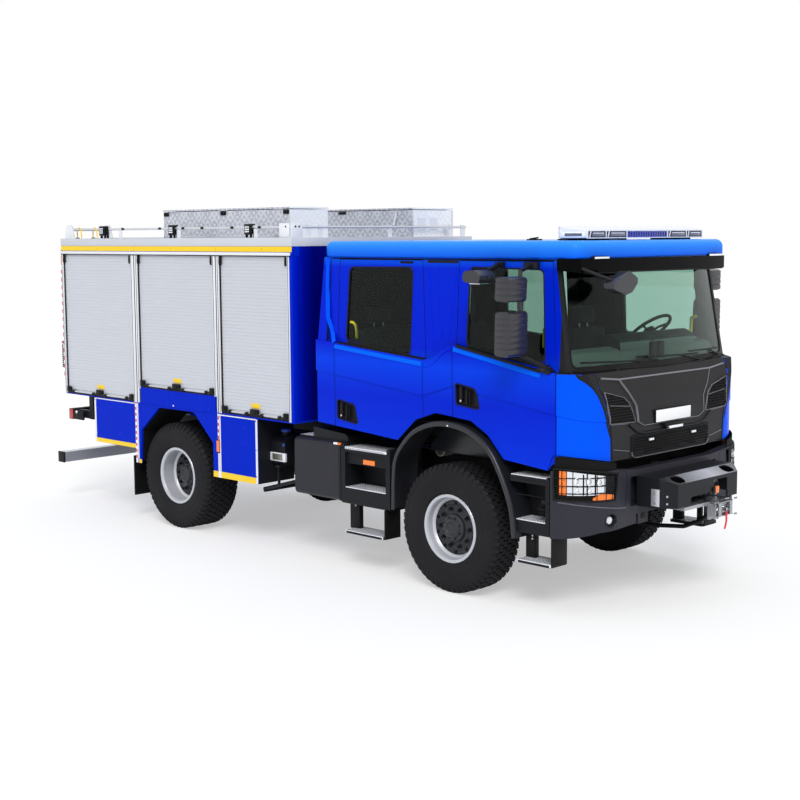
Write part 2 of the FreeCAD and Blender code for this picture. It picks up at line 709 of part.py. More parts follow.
WHEEL_CENTRE = (780.0, 560.0, 2215.0)
COLUMN_AXIS = (-0.64, 0.0, 0.768)


def dashboard():
    """Dash moulding under the windscreen with the instrument hood and the steering column."""
    profile = [
        (880, 1720), (1130, 1640), (1165, 1895), (1160, 2010),
        (1105, 2115), (1000, 2140), (880, 2110), (830, 1960),
    ]
    panel = side_prism(profile, (-1040, 1040), 40)
    hood = side_prism(
        [(872, 2080), (1120, 2080), (1110, 2190), (1010, 2236), (890, 2225)],
        (-340, 790),
        30,
    )
    centre = V(*WHEEL_CENTRE)
    axis = V(*COLUMN_AXIS).normalize()
    top = centre - axis * 42
    foot = centre - axis * 330
    column = Part.makeCylinder(38, (top - foot).Length, foot, top - foot)
    return fuse([panel, hood, column])


def seat(x, y, width, floor):
    """One seat on its pedestal: cushion and backrest."""
    base = box((x + 60, x + 460), (y - width / 2 + 110, y + width / 2 - 110), (floor, 1640))
    across = (y - width / 2, y + width / 2)
    cushion = side_prism([(x, 1630), (x + 520, 1630), (x + 520, 1760), (x, 1730)], across, 40)
    back = side_prism([(x, 1680), (x + 130, 1680), (x + 30, 2420), (x - 70, 2420)], across, 40)
    return fuse([base, cushion, back])


def seats():
    """Two front seats and the rear crew bench."""
    front = [seat(60, y, 520, 1302) for y in (-560, 560)]
    bench = seat(-1480, 0, 1900, 1385)
    return Part.makeCompound(front + [bench])


# ---- front end -----------------------------------------------------------------------------------
def front_curve(inset, z):
    """Plan of the bumper's outside as a prism: rounded corners ahead of the wheels."""
    h = 1240 - inset
    nose = 1452 - inset
    start = V(700, -h, z[0])
    side_end = V(1085, -h, z[0])
    bend = V(1340 - inset * 0.7, -1100 + inset * 0.7, z[0])
    face = V(nose, -780, z[0])
    far_face = V(nose, 780, z[0])
    far_bend = V(1340 - inset * 0.7, 1100 - inset * 0.7, z[0])
    far_side = V(1085, h, z[0])
    edges = [
        Part.LineSegment(start, side_end).toShape(),
        Part.Arc(side_end, bend, face).toShape(),
        Part.LineSegment(face, far_face).toShape(),
        Part.Arc(far_face, far_bend, far_side).toShape(),
        Part.LineSegment(far_side, V(700, h, z[0])).toShape(),
        Part.LineSegment(V(700, h, z[0]), start).toShape(),
    ]
    return Part.Face(Part.Wire(edges)).extrude(V(0, 0, z[1] - z[0]))


LAMP_OUTLINE = [(-1300, 958), (-850, 945), (-806, 1165), (-1300, 1215)]
LAMP_SIDE_X = 1115.0


def lamp_zone(grow):
    """The right headlamp's space, from the corner round to the front."""
    face = front_prism(grown(LAMP_OUTLINE, grow), (LAMP_SIDE_X - grow, 1500))
    return face


def bumper():
    """Black bumper: lower wrap, lamp surrounds, upper band and the bars behind the winch box."""
    ring = front_curve(0, (600, 1190)).cut(front_curve(90, (590, 1200)))
    ring = ring.cut(box((600, 1090), (-1400, 1400), (500, 1300)))
    band = front_prism(
        [(-1300, 622), (-1000, 690), (-560, 712), (560, 712), (1000, 690), (1300, 622),
         (1300, 1236), (800, 1186), (560, 1160), (-560, 1160), (-800, 1186), (-1300, 1236)],
        (1000, 1500),
    )
    ring = ring.common(band)
    middle_gap = box((1300, 1500), (-640, 640), (862, 1108))
    mouth = box((1300, 1500), (-560, 560), (690, 790))
    pocket = lamp_zone(2)
    ring = ring.cut(middle_gap).cut(mouth)
    back = front_curve(60, (930, 1190)).cut(front_curve(88, (930, 1190))).common(lamp_zone(30))
    ring = ring.cut(pocket).cut(mirrored(pocket))
    link = box((1362, 1372), (-700, 700), (800, 1150))
    tow = box((1364, 1445), (-520, -380), (700, 860))
    whole = fuse([ring, back, mirrored(back), link, tow])
    x, y = FRONT_TOW
    return whole.cut(rod((x, y, 690), (x, y, 870), FRONT_TOW_R))


def headlamps():
    """Headlamp units filling the bumper's corner pockets."""
    layer = front_curve(6, (900, 1240)).cut(front_curve(58, (890, 1250)))
    layer = layer.cut(box((600, LAMP_SIDE_X), (-1400, 1400), (800, 1300)))
    return both(layer.common(lamp_zone(0)))


def winch_box():
    """Faceted sheet-metal box over the winch, with its windows and oval grab holes."""
    plan = [(1455, -560), (1681, -560), (1785, -452), (1785, 452), (1681, 560), (1455, 560)]
    side = [(1455, 861), (1785, 861), (1785, 1060), (1667, 1110), (1455, 1110)]
    outer = plan_prism(plan, (861, 1110)).common(side_prism(side, (-600, 600)))
    inner = plan_prism(grown(plan, -12), (850, 1098)).common(side_prism(grown(side, -12), (-600, 600)))
    tray = box((1400, 1790), (-600, 600), (840, 874))
    inner = inner.fuse(tray.common(plan_prism(grown(plan, -12), (800, 900))))
    rear_way = box((1440, 1470), (-540, 540), (850, 1098))
    shell = outer.cut(inner).cut(rear_way)
    window = front_prism(rectangle((83, 291), (908, 1030)), (1700, 1800), 12)
    slot = front_prism(rectangle((-262, 300), (850, 931)), (1700, 1800), 24)
    holes = []
    for side_sign in (-1, 1):
        across = sorted((side_sign * 300, side_sign * 446))
        hole = plan_prism(rectangle((1674, 1772), across), (1035, 1120), 44)
        holes.append(hole)
    shell = shell.cut(window).cut(slot).cut(Part.makeCompound(holes))
    arms = [box((1373, 1475), sorted((s * 345, s * 415)), (880, 1040)) for s in (-1, 1)]
    feet = [box((1462, 1480), sorted((s * 300, s * 548)), (870, 1100)) for s in (-1, 1)]
    return fuse([shell] + arms + feet)


def winch():
    """Drum winch with end housings, foot plate and a four-roller fairlead."""
    drum = rod((1600, -215, 930), (1600, 215, 930), 62)
    ends = [
        rod((1600, -330, 930), (1600, -210, 930), 88),
        rod((1600, 210, 930), (1600, 330, 930), 88),
    ]
    foot = box((1500, 1770), (-335, 335), (822, 850))
    frame = box((1766, 1784), (20, 330), (700, 850)).cut(box((1760, 1790), (70, 280), (745, 820)))
    cheeks = [box((1766, 1830), (y, y + 14), (735, 832)) for y in (40, 296)]
    across = [rod((1808, 42, z), (1808, 308, z), 17) for z in (752, 815)]
    upright = [rod((1840, y, 728), (1840, y, 840), 16) for y in (92, 258)]
    lips = [box((1800, 1848), (60, 290), (z, z + 8)) for z in (722, 836)]
    hook = rod((1775, 175, 783.5), (1853, 175, 783.5), 8)
    ball = rod((FRONT_END_X - 13, 160, 776), (FRONT_END_X - 13, 190, 776), 13)
    legs = [box((1590, 1620), sorted((s * 300, s * 334)), (840, 880)) for s in (-1, 1)]
    core = [rod((1785, 175, 783.5), (1600, 175, 783.5), 8), rod((1600, 175, 780), (1600, 175, 900), 9)]
    pieces = [drum, foot, frame, hook, ball] + ends + cheeks + across + upright + lips + legs + core
    return fuse(pieces)


STRAP_ROUTE = [(1853.0, 761.0), (1854.0, 725.0), (1856.0, 688.0), (1851.0, 650.0), (1840.0, 606.0)]
STRAP_WIDTH = 24.0
STRAP_THICK = 4.0
STRAP_Y = 175.0


def pull_strap():
    """Webbing strap that hangs from the winch hook: a flat ribbon along its route."""
    front = []
    back = []
    for i, (x, z) in enumerate(STRAP_ROUTE):
        ax, az = STRAP_ROUTE[max(i - 1, 0)]
        bx, bz = STRAP_ROUTE[min(i + 1, len(STRAP_ROUTE) - 1)]
        normal = V(az - bz, bx - ax, 0).normalize() * (STRAP_THICK / 2)
        front.append((x + normal.x, z + normal.y))
        back.append((x - normal.x, z - normal.y))
    radii = [0] + [60] * (len(front) - 2) + [0]
    y = (STRAP_Y - STRAP_WIDTH / 2, STRAP_Y + STRAP_WIDTH / 2)
    return side_prism(front + back[::-1], y, radii * 2)


# ---- equipment body ------------------------------------------------------------------------------
REAR_DOOR_Y = 760.0
REAR_DOOR_Z = (1330.0, 2860.0)


ROOF_SHEET = 40.0
SIDE_SHEET = 95.0               # roller drum housings along the roof edges


def body_roof():
    """Roof deck with the deep header along each side that hides the roller drums."""
    deck = box(BODY_X, (-BODY_HALF, BODY_HALF), (BODY_Z[1] - ROOF_SHEET, BODY_Z[1]))
    header = box(BODY_X, (-BODY_HALF, SIDE_SHEET - BODY_HALF), (SHUTTER_TOP_Z, BODY_Z[1]))
    return fuse([deck, header, mirrored(header)])


def body_floor():
    """Floor of the bays, highest over the wheels, with the feet that stand on the chassis."""
    steps = [BODY_X[0], BAYS[1][0], BAYS[1][1], BODY_X[1]]
    floors = [
        box((steps[i], steps[i + 1]), (-BODY_HALF, BODY_HALF), (BODY_Z[0], BAYS[i][2]))
        for i in range(len(BAYS))
    ]
    feet = [box((x - 60, x + 60), sorted((s * RAIL_Y[0], s * RAIL_Y[1])), (RAIL_Z[1], BODY_Z[0] + 5))
            for x in (-5600, -4700, -3300, -2400) for s in (-1, 1)]
    return fuse(floors + feet)


def body_walls():
    """Rear door frame, the two partitions with their posts, and the front wall."""
    full = (-BODY_HALF, BODY_HALF)
    rear = box((BODY_X[0], BAYS[0][0]), full, (BAYS[0][2], SHUTTER_TOP_Z))
    walls = [rear.cut(box((BODY_X[0] - 5, BAYS[0][0] + 5), (-REAR_DOOR_Y, REAR_DOOR_Y), REAR_DOOR_Z))]
    for i in (0, 1):
        sill = max(BAYS[i][2], BAYS[i + 1][2])
        walls.append(box((BAYS[i][1], BAYS[i + 1][0]), full, (sill, SHUTTER_TOP_Z)))
    walls.append(box((BAYS[2][1], BODY_X[1]), full, (BAYS[2][2], SHUTTER_TOP_Z)))
    filler = (SIDE_SHEET - BODY_HALF, BODY_HALF - SIDE_SHEET)
    top = (SHUTTER_TOP_Z - 5, BODY_Z[1] - ROOF_SHEET)
    above = [box((w.BoundBox.XMin, w.BoundBox.XMax), filler, top) for w in walls]
    return Part.makeCompound([fuse([w, top]) for w, top in zip(walls, above)])


SHUTTER_THICK = 24.0
SHUTTER_FACE = 1262.0


def shutters():
    """Closed roller shutter curtains: three each side and one across the back."""
    curtains = []
    for x0, x1, sill in BAYS:
        side = box((x0 + 1, x1 - 1), (-SHUTTER_FACE, -SHUTTER_FACE + SHUTTER_THICK), (sill, SHUTTER_TOP_Z))
        curtains += [side, mirrored(side)]
    x = BODY_X[0] + 12
    curtains.append(box((x, x + SHUTTER_THICK), (-REAR_DOOR_Y + 1, REAR_DOOR_Y - 1), REAR_DOOR_Z))
    return Part.makeCompound(curtains)


WHEEL_OCTAGON = [
    (-4532, 600), (-4530, 660), (-4500, 1007), (-4175, 1276),
    (-3568, 1278), (-3256, 990), (-3249, 600),
]


def lower_lockers():
    """Panels and lockers under the body side: behind the wheel, round it and ahead of it."""
    sheet = 26.0
    face = (-1268.0, -800.0)
    pieces = []
    for x, z in (((-5393, -4600), (795, 1296.5)), ((-3196, -2537), (645, 1296.5))):
        locker = box(x, face, z)
        inner = box(
            (x[0] + sheet, x[1] - sheet),
            (face[0] + sheet, face[1] + 5),
            (z[0] + sheet, z[1] - sheet),
        )
        pieces.append(locker.cut(inner))
    arch = box((-4604, -3192), (-1268, -1242), (645, 1296.5))
    arch = arch.cut(side_prism(WHEEL_OCTAGON, (-1300, -1200)))
    side = fuse(pieces + [arch])
    return both(side)


def rear_arch_liners():
    """Black octagonal wheel-arch liners with mud flaps behind the rear wheels."""
    below = box((-4700, -3100), (-1300, -700), (500, 660))
    outside = side_prism(grown(WHEEL_OCTAGON, 14), (-1241, -800)).cut(below)
    liner = outside.cut(side_prism(WHEEL_OCTAGON, (-1300, -700)))
    flap = box((-4712, -4692), (-1235, -820), (262, 700))
    hanger = box((-4712, -4602), (-1180, -900), (690, 720))
    return both_sets([liner, flap.fuse(hanger)])


def both_sets(shapes):
    """Several pieces and their mirror images, as separate solids."""
    return Part.makeCompound([both(s) for s in shapes])


RAIL_TOP_Z = 3166.0


def roof_gallery():
    """Hand rails round the roof, ladder rollers at the rear edge and the rear ladder."""
    rails = []
    for y in (-1236, 1236):
        line = rod((-5040, y, RAIL_TOP_Z), (-2052, y, RAIL_TOP_Z), 12)
        posts = [
            box((x - 28, x + 28), (y - 5, y + 5), (BODY_Z[1], RAIL_TOP_Z + 20))
            for x in (-4840, -3790, -2560, -2080)
        ]
        rails.append(fuse([line] + posts))
    front_x = -2036.0
    front = [rod((front_x, -1236, RAIL_TOP_Z), (front_x, 1236, RAIL_TOP_Z), 12)]
    front += [
        box((front_x - 5, front_x + 5), (y - 26, y + 26), (BODY_Z[1], RAIL_TOP_Z + 20))
        for y in (-1010, -860, 90, 1000, 1180)
    ]
    rails.append(fuse(front))
    roller_x = -5895.0
    roller = [rod((roller_x, -1195, 3168), (roller_x, -690, 3168), 17)]
    for y in (-1200, -690):
        plate = side_prism(
            [(roller_x - 98, 3066), (roller_x + 98, 3066), (roller_x + 62, 3222), (roller_x - 62, 3222)],
            (y - 5, y + 5),
            [0, 0, 46, 46],
        )
        roller.append(plate)
    ladder = [rod((-6040, y, 1350), (-6040, y, 3150), 17) for y in (830, 1170)]
    ladder += [rod((-6040, 830, z), (-6040, 1170, z), 13) for z in range(1420, 3101, 280)]
    ladder += [rod((-6040, y, z), (-5967, y, z), 13) for y in (830, 1170) for z in (1500, 2900)]
    handle = [rod((-6075, -1215, 1600), (-6075, -1215, 1880), 17)]
    handle += [rod((-6075, -1215, z), (-5967, -1215, z), 14) for z in (1625, 1855)]
    return Part.makeCompound(rails + [fuse(roller), fuse(ladder), fuse(handle)])


BOX_RIGHT = ((-4365.0, -2321.0), (-1000.0, -497.0), (3066.0, 3342.0))
BOX_LEFT = ((-4500.0, -2080.0), (470.0, 1075.0), (3066.0, 3342.0))
LID_THICK = 16.0
BOX_SHEET = 6.0


def roof_box(size):
    """Open-topped aluminium locker."""
    x, y, z = size
    inner = box(
        (x[0] + BOX_SHEET, x[1] - BOX_SHEET),
        (y[0] + BOX_SHEET, y[1] - BOX_SHEET),
        (z[0] + BOX_SHEET, z[1] + 5),
    )
    return box(x, y, z).cut(inner)


def roof_lid(size):
    """Flat lid that stands clear of the locker, with hinge barrels along its outer edge."""
    x, y, z = size
    low = z[1] + 6
    over = 6.0
    plate = box((x[0] - over, x[1] + over), (y[0] - over, y[1] + over), (low, low + LID_THICK))
    hinge_y = min(y) - 8 if min(y) < 0 else max(y) + 8
    middle = sum(x) / 2
    barrels = [rod((hx - 60, hinge_y, z[1] + 3), (hx + 60, hinge_y, z[1] + 3), 5)
               for hx in (x[0] + 150, middle, x[1] - 150)]
    return fuse([plate] + barrels)


def work_lights():
    """Square flood lights on stalks beside the roof rail."""
    lamps = []
    for side in (-1, 1):
        for x in (-5150, -3880, -2640):
            head = side_prism(
                [(x - 45, 3095), (x + 45, 3110), (x + 40, 3205), (x - 50, 3190)],
                sorted((side * 1262, side * 1205)),
                12,
            )
            stalk = rod((x, side * 1225, 3066), (x, side * 1225, 3110), 12)
            lamps.append(fuse([head, stalk]))
    way = [rod((-5040, s * 1236, RAIL_TOP_Z), (-2040, s * 1236, RAIL_TOP_Z), 13) for s in (-1, 1)]
    clear = Part.makeCompound(way)
    return Part.makeCompound([lamp.cut(clear) for lamp in lamps])


def tail_lamps():
    """Rear lamp units on brackets under the body floor."""
    lamp = box((-5965, -5895), (-1240, -905), (998, 1120))
    arm = box((-5895, -5560), (-1180, -1120), (1020, 1110))
    hanger = box((-5640, -5560), (-1180, -1060), (1015, BODY_Z[0]))
    return both(fuse([lamp, arm, hanger]))


def underrun_beam():
    """Rear underrun beam on two arms below the chassis rails."""
    beam = box((REAR_END_X, REAR_END_X + 125), (-1180, 1180), (453, 574))
    beam = beam.cut(box((REAR_END_X + 6, REAR_END_X + 119), (-1150, 1150), (459, 568)))
    arms = []
    for s in (-1, 1):
        arm = side_prism(
            [(REAR_END_X + 30, 574), (REAR_END_X + 125, 574), (-5860, 799), (-5990, 799)],
            sorted((s * 350, s * 410)),
        )
        arms.append(arm)
    return fuse([beam] + arms)


# ---- making every piece --------------------------------------------------------------------------
def main():
    os.makedirs("parts", exist_ok=True)
    save("chassis_frame", chassis_frame())
    save("drivetrain", drivetrain())
    save("leaf_springs", leaf_springs())
    save("front_axle", front_axle())
    save("rear_axle", rear_axle())
    right_knuckle = knuckle()
    save("knuckle_right", right_knuckle)
    save("knuckle_left", mirrored(right_knuckle))
    save("tie_rod", tie_rod())
    for side_name, side in (("right", -1), ("left", 1)):
        save("tyre_front_" + side_name, tyre(0, side * FRONT_WHEEL_Y, FRONT_TYRE_HALF))
        save("tyre_rear_" + side_name, tyre(REAR_AXLE_X, side * REAR_WHEEL_Y, REAR_TYRE_HALF))
        save("wheel_front_" + side_name, rim(0, FRONT_WHEEL_Y, 141, 40, -40, side))
        save("wheel_rear_" + side_name, rim(REAR_AXLE_X, REAR_WHEEL_Y, 185, 4, -100, side))
    save("side_tanks", side_tanks())
    save("additive_tank", additive_tank())
    save("cab_steps", cab_steps())
    save("front_fenders", front_fenders())
    skin = cab_skin()
    corners = corner_panels(skin)
    save("corner_panels", corners)
    save("cab_shell", cab_shell(skin, corners))
    roof = cab_roof()
    visor = sun_visor()
    save("cab_roof", roof)
    save("windscreen", windscreen())
    save("sun_visor", visor)
    save("grille_panel", grille_panel())
    doors = {}
    for name, points, window, handle in (
        ("front", FRONT_DOOR, FRONT_WINDOW, FRONT_HANDLE),
        ("rear", REAR_DOOR, REAR_WINDOW, REAR_HANDLE),
    ):
        panel = door(skin, points, window, handle)
        doors[name] = panel
        glass = pane(window, 12, 6)
        save("door_" + name + "_right", panel)
        save("door_" + name + "_left", mirrored(panel))
        save("window_" + name + "_right", glass)
        save("window_" + name + "_left", mirrored(glass))
    right_mirrors = trimmed(mirrors_right(), doors["front"])
    save("mirrors_right", Part.makeCompound([right_mirrors, trimmed(kerb_mirror(), doors["front"])]))
    save("mirrors_left", mirrored(right_mirrors))
    save("front_mirror", front_mirror(Part.makeCompound([roof, visor])))
    save("light_bar", light_bar())
    save("steering_wheel", steering_wheel())
    save("dashboard", dashboard())
    save("seats", seats())
    save("bumper", bumper())
    save("headlamps", headlamps())
    save("winch_box", winch_box())
    save("winch", winch())
    save("pull_strap", pull_strap())
    save("body_floor", body_floor())
    save("body_walls", body_walls())
    save("body_roof", body_roof())
    save("shutters", shutters())
    save("lower_lockers", lower_lockers())
    save("rear_arch_liners", rear_arch_liners())
    save("roof_gallery", roof_gallery())
    save("roof_box_right", roof_box(BOX_RIGHT))
    save("roof_box_left", roof_box(BOX_LEFT))
    save("roof_lid_right", roof_lid(BOX_RIGHT))
    save("roof_lid_left", roof_lid(BOX_LEFT))
    save("work_lights", work_lights())
    save("tail_lamps", tail_lamps())
    save("underrun_beam", underrun_beam())


main()
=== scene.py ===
# %% [markdown]
# # A crew-cab emergency service truck
# The truck has two axles, a four-door blue cab, an equipment body with roller shutters, a roof
# gallery and a winch in front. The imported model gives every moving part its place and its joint. This
# script keeps those places and gives each surface its look: rounded sheet-metal edges, slats, tread
# blocks, lamps, mirrors and stripes. Everything is in metres, with +X forwards, +Y to the vehicle's left
# and Z up from the ground.

import bmesh
import bpy
import math
from mathutils import Matrix, Vector


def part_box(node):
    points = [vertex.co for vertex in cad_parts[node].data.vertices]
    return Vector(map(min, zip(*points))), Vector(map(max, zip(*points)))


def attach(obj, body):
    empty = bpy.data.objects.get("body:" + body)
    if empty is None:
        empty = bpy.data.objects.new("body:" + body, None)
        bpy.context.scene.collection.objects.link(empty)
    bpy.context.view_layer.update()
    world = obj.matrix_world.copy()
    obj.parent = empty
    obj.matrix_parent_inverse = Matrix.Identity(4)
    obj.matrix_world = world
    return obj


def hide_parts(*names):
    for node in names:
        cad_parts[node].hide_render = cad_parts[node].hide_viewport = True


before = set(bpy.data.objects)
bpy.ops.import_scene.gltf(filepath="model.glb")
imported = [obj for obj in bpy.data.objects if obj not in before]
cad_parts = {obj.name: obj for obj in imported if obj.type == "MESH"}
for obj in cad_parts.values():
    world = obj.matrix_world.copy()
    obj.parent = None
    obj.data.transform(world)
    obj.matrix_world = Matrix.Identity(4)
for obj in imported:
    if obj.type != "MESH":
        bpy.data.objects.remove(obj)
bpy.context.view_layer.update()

# %% [markdown]
# ## Places
# On a truck it is natural to measure along the vehicle from the front axle, in millimetres, as a body
# builder's drawing does. One helper turns such a place into the model's own frame. The axle itself is
# found from the box of a front tyre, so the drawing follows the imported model.

# %% Measure from the front axle
tyre_low, tyre_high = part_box("tyre_front_right")
AXLE_X = (tyre_low[0] + tyre_high[0]) / 2
SIDES = (("right", -1), ("left", 1))


def at(x, y, z):
    """A place in millimetres from the front axle, as metres in the model's frame."""
    return Vector((x / 1000 + AXLE_X, y / 1000, z / 1000))


print("front axle at x =", round(AXLE_X, 4))

# %% [markdown]
# ## Camera
# The truck is seen from its right front corner, a little above window height, from nearly
# fifteen metres. A long lens keeps the sides nearly parallel. The place, the three turns and the focal length
# belong together, and the small shift only centres the framing.

# %% Stand the camera at the right front corner
CAMERA_PLACE = (10.2750, -10.0328, 3.0895)
CAMERA_YAW = math.radians(134.63624)
CAMERA_PITCH = math.radians(-6.66436)
CAMERA_ROLL = math.radians(-0.36015)
FOCAL_LENGTH = 63.107
FRAMING_SHIFT = (0.00376, -0.0019)


def aim(yaw, pitch, roll):
    """The turn of a camera that looks along a compass direction and a slope, tilted by roll."""
    ahead = Vector((math.cos(yaw) * math.cos(pitch), math.sin(yaw) * math.cos(pitch), math.sin(pitch)))
    level = Vector((math.sin(yaw), -math.cos(yaw), 0))
    above = level.cross(ahead)
    right = math.cos(roll) * level + math.sin(roll) * above
    up = math.cos(roll) * above - math.sin(roll) * level
    return Matrix((right, up, -ahead)).transposed().to_4x4()


lens = bpy.data.cameras.new("camera")
lens.lens = FOCAL_LENGTH
lens.sensor_width = 36.0
lens.shift_x, lens.shift_y = FRAMING_SHIFT
lens.clip_end = 200.0
camera = bpy.data.objects.new("camera", lens)
camera.matrix_world = Matrix.Translation(CAMERA_PLACE) @ aim(CAMERA_YAW, CAMERA_PITCH, CAMERA_ROLL)
bpy.context.collection.objects.link(camera)
bpy.context.scene.camera = camera
print("camera stands", round(camera.location.length, 2), "m from the truck's middle")

# %% [markdown]
# ## Finishes
# Real paint, plastic and metal are never one flat colour. Each finish here starts from one shader and
# gets three things from noise that is tied to the object's own coordinates: a slow drift in colour, a
# slow drift in gloss, and a fine grain as bump. Changing the scale of the grain is what turns smooth
# lacquer into moulded plastic or cast iron.

# %% A helper that builds a finish


def node_of(mat, kind, **values):
    """A new shader node with its inputs set by name."""
    node = mat.node_tree.nodes.new(kind)
    for key, value in values.items():
        node.inputs[key].default_value = value
    return node


def light_of(colour):
    """A colour picked on the 0 to 255 scale, in the linear light that shaders use."""
    return [((c / 255 + 0.055) / 1.055) ** 2.4 if c > 10 else c / 255 / 12.92 for c in colour]


def spread(mat, number, low, high, to_low=0.0, to_high=1.0):
    """A node output carried from one range of numbers to another."""
    span = mat.node_tree.nodes.new("ShaderNodeMapRange")
    for key, value in (("From Min", low), ("From Max", high), ("To Min", to_low), ("To Max", to_high)):
        span.inputs[key].default_value = value
    mat.node_tree.links.new(number, span.inputs["Value"])
    return span.outputs["Result"]


def blend_colours(mat, factor, low, high):
    """A node output that runs from one colour to another."""
    mix = mat.node_tree.nodes.new("ShaderNodeMix")
    mix.data_type = "RGBA"
    mix.inputs[6].default_value = (*low, 1)
    mix.inputs[7].default_value = (*high, 1)
    mat.node_tree.links.new(factor, mix.inputs[0])
    return mix.outputs[2]


def finish(name, colour, roughness, metallic=0.0, drift=0.06, grain=0.0, grain_scale=300.0, coat=0.0, specular=0.5):
    """A material whose colour, gloss and surface vary a little with the object's coordinates."""
    colour = light_of(colour)
    mat = bpy.data.materials.new(name)
    mat.use_nodes = True
    links = mat.node_tree.links
    shader = mat.node_tree.nodes["Principled BSDF"]
    shader.inputs["Metallic"].default_value = metallic
    shader.inputs["Coat Weight"].default_value = coat
    shader.inputs["Coat Roughness"].default_value = 0.04
    shader.inputs["Specular IOR Level"].default_value = specular
    place = mat.node_tree.nodes.new("ShaderNodeTexCoord")
    cloud = node_of(mat, "ShaderNodeTexNoise", Scale=2.3, Detail=5.0, Roughness=0.6)
    links.new(place.outputs["Object"], cloud.inputs["Vector"])
    low = [c * (1 - drift) for c in colour]
    high = [min(1.0, c * (1 + drift)) for c in colour]
    links.new(blend_colours(mat, cloud.outputs["Fac"], low, high), shader.inputs["Base Color"])
    gloss = spread(mat, cloud.outputs["Fac"], 0.3, 0.7, max(0.02, roughness * 0.85), min(1.0, roughness * 1.2))
    links.new(gloss, shader.inputs["Roughness"])
    if grain:
        fine = node_of(mat, "ShaderNodeTexNoise", Scale=grain_scale, Detail=3.0)
        bump = node_of(mat, "ShaderNodeBump", Strength=grain, Distance=0.001)
        links.new(place.outputs["Object"], fine.inputs["Vector"])
        links.new(fine.outputs["Fac"], bump.inputs["Height"])
        links.new(bump.outputs["Normal"], shader.inputs["Normal"])
    return mat


def ramp_along(mat, axis, low, high, stops):
    """Replaces a finish's colour by a ramp along X, Y or Z, from low to high in metres."""
    nodes, links = mat.node_tree.nodes, mat.node_tree.links
    place = next(n for n in nodes if n.type == "TEX_COORD")
    split = nodes.new("ShaderNodeSeparateXYZ")
    links.new(place.outputs["Object"], split.inputs["Vector"])
    ramp = nodes.new("ShaderNodeValToRGB")
    while len(ramp.color_ramp.elements) < len(stops):
        ramp.color_ramp.elements.new(1.0)
    for element, (where, colour) in zip(ramp.color_ramp.elements, stops):
        element.position = (where - low) / (high - low)
        element.color = (*light_of(colour), 1)
    links.new(spread(mat, split.outputs[axis], low, high), ramp.inputs["Fac"])
    links.new(ramp.outputs["Color"], nodes["Principled BSDF"].inputs["Base Color"])


# %% [markdown]
# ## Paints, plastics and metals
# The cab is a vivid blue under clear lacquer, and the equipment body a slightly deeper blue. Most other
# parts are one of a few blacks: satin sheet steel, grained plastic, rubber and cast iron.

# %% Plain finishes
# The ramp paints the cab lacquer lighter low down, in a band along the belt at about 1.95 m and brightest over the
# roof, and darker between: painted highlights and shade by height.
cab_blue_painted_light = finish("cab lacquer", (0, 62, 222), 0.22, specular=0.05)
ramp_along(cab_blue_painted_light, "Z", 1.0, 3.1, (
    (1.1, (0, 50, 213)), (1.65, (0, 36, 201)), (1.95, (0, 60, 222)), (2.1, (0, 32, 200)), (2.8, (0, 36, 200)),
    (2.9, (8, 92, 228)), (3.03, (50, 142, 239)),
))
# A lighter copy of the cab lacquer is a painted highlight for the door shoulders.
shoulder_painted_highlight = finish("cab lacquer, painted highlight", (0, 96, 240), 0.22, specular=0.05)
# Another lighter copy of the cab lacquer is painted light on the front corner panels and a painted highlight on the
# rear corner bead.
cheek_painted_light = finish("cab lacquer, painted lighter", (0, 80, 238), 0.22, specular=0.04)
body_blue = finish("body lacquer", (0, 38, 190), 0.25, drift=0.05, specular=0.03)
# A darker copy of the body lacquer is painted shade on the body's front end, darkening towards the middle near the cab.
body_painted_shade = finish("body lacquer, shaded end", (2, 18, 172), 0.25, drift=0.05, specular=0.03)
ramp_along(body_painted_shade, "Y", -1.3, -0.9, (
    (-1.28, (2, 38, 208)), (-1.2, (0, 22, 176)), (-1.12, (0, 13, 144)), (-1.0, (0, 5, 112)),
))
steel_black = finish("black sheet steel", (24, 25, 29), 0.4, grain=0.15, specular=0.16)
plastic_black = finish("grained black plastic", (20, 21, 25), 0.5, grain=0.25, grain_scale=500, specular=0.18)
# A lighter grey painted highlight for the bumper's edges.
bumper_painted_highlight = finish("bumper edge, painted highlight", (92, 94, 106), 0.28, specular=0.3)
bumper_black = finish("bumper plastic", (40, 40, 49), 0.42, grain=0.2, grain_scale=600, specular=0.22)
front_black = finish("front panel plastic", (25, 25, 27), 0.4, grain=0.1, grain_scale=600, specular=0.18)
tank_grey = finish("tank coating", (36, 36, 44), 0.36, grain=0.15, specular=0.22)
gap_and_shade_black = finish("dark gaps and painted shade", (8, 8, 9), 0.8, specular=0.2)
rubber = finish("window rubber", (14, 14, 16), 0.55, grain=0.1, specular=0.2)
fender_black = finish("fender plastic", (26, 27, 33), 0.3, grain=0.15, grain_scale=500, specular=0.45)
tread_silver = finish("perforated aluminium", (228, 231, 238), 0.4)
cast_iron = finish("cast iron", (34, 34, 36), 0.62, grain=0.7, grain_scale=180, drift=0.2)
rim_silver = finish("wheel paint", (188, 190, 197), 0.33, metallic=0.35, grain=0.05, drift=0.04)
disc_dark = finish("wheel centre paint", (40, 41, 46), 0.42, metallic=0.3, grain=0.3, drift=0.15)
alloy = finish("plain aluminium", (205, 208, 213), 0.34, metallic=0.75, grain=0.06, drift=0.05)
profile_white = finish("white profile", (225, 227, 232), 0.35, drift=0.03)
roof_grey = finish("roof edge paint", (196, 200, 208), 0.4, drift=0.03, grain=0.05)
steel_bright = finish("zinc plated steel", (170, 172, 176), 0.3, metallic=0.9, drift=0.12, grain=0.1)
yellow = finish("yellow reflective film", (240, 200, 0), 0.35, drift=0.04)
warning_red = finish("red film", (205, 25, 30), 0.35, drift=0.05)
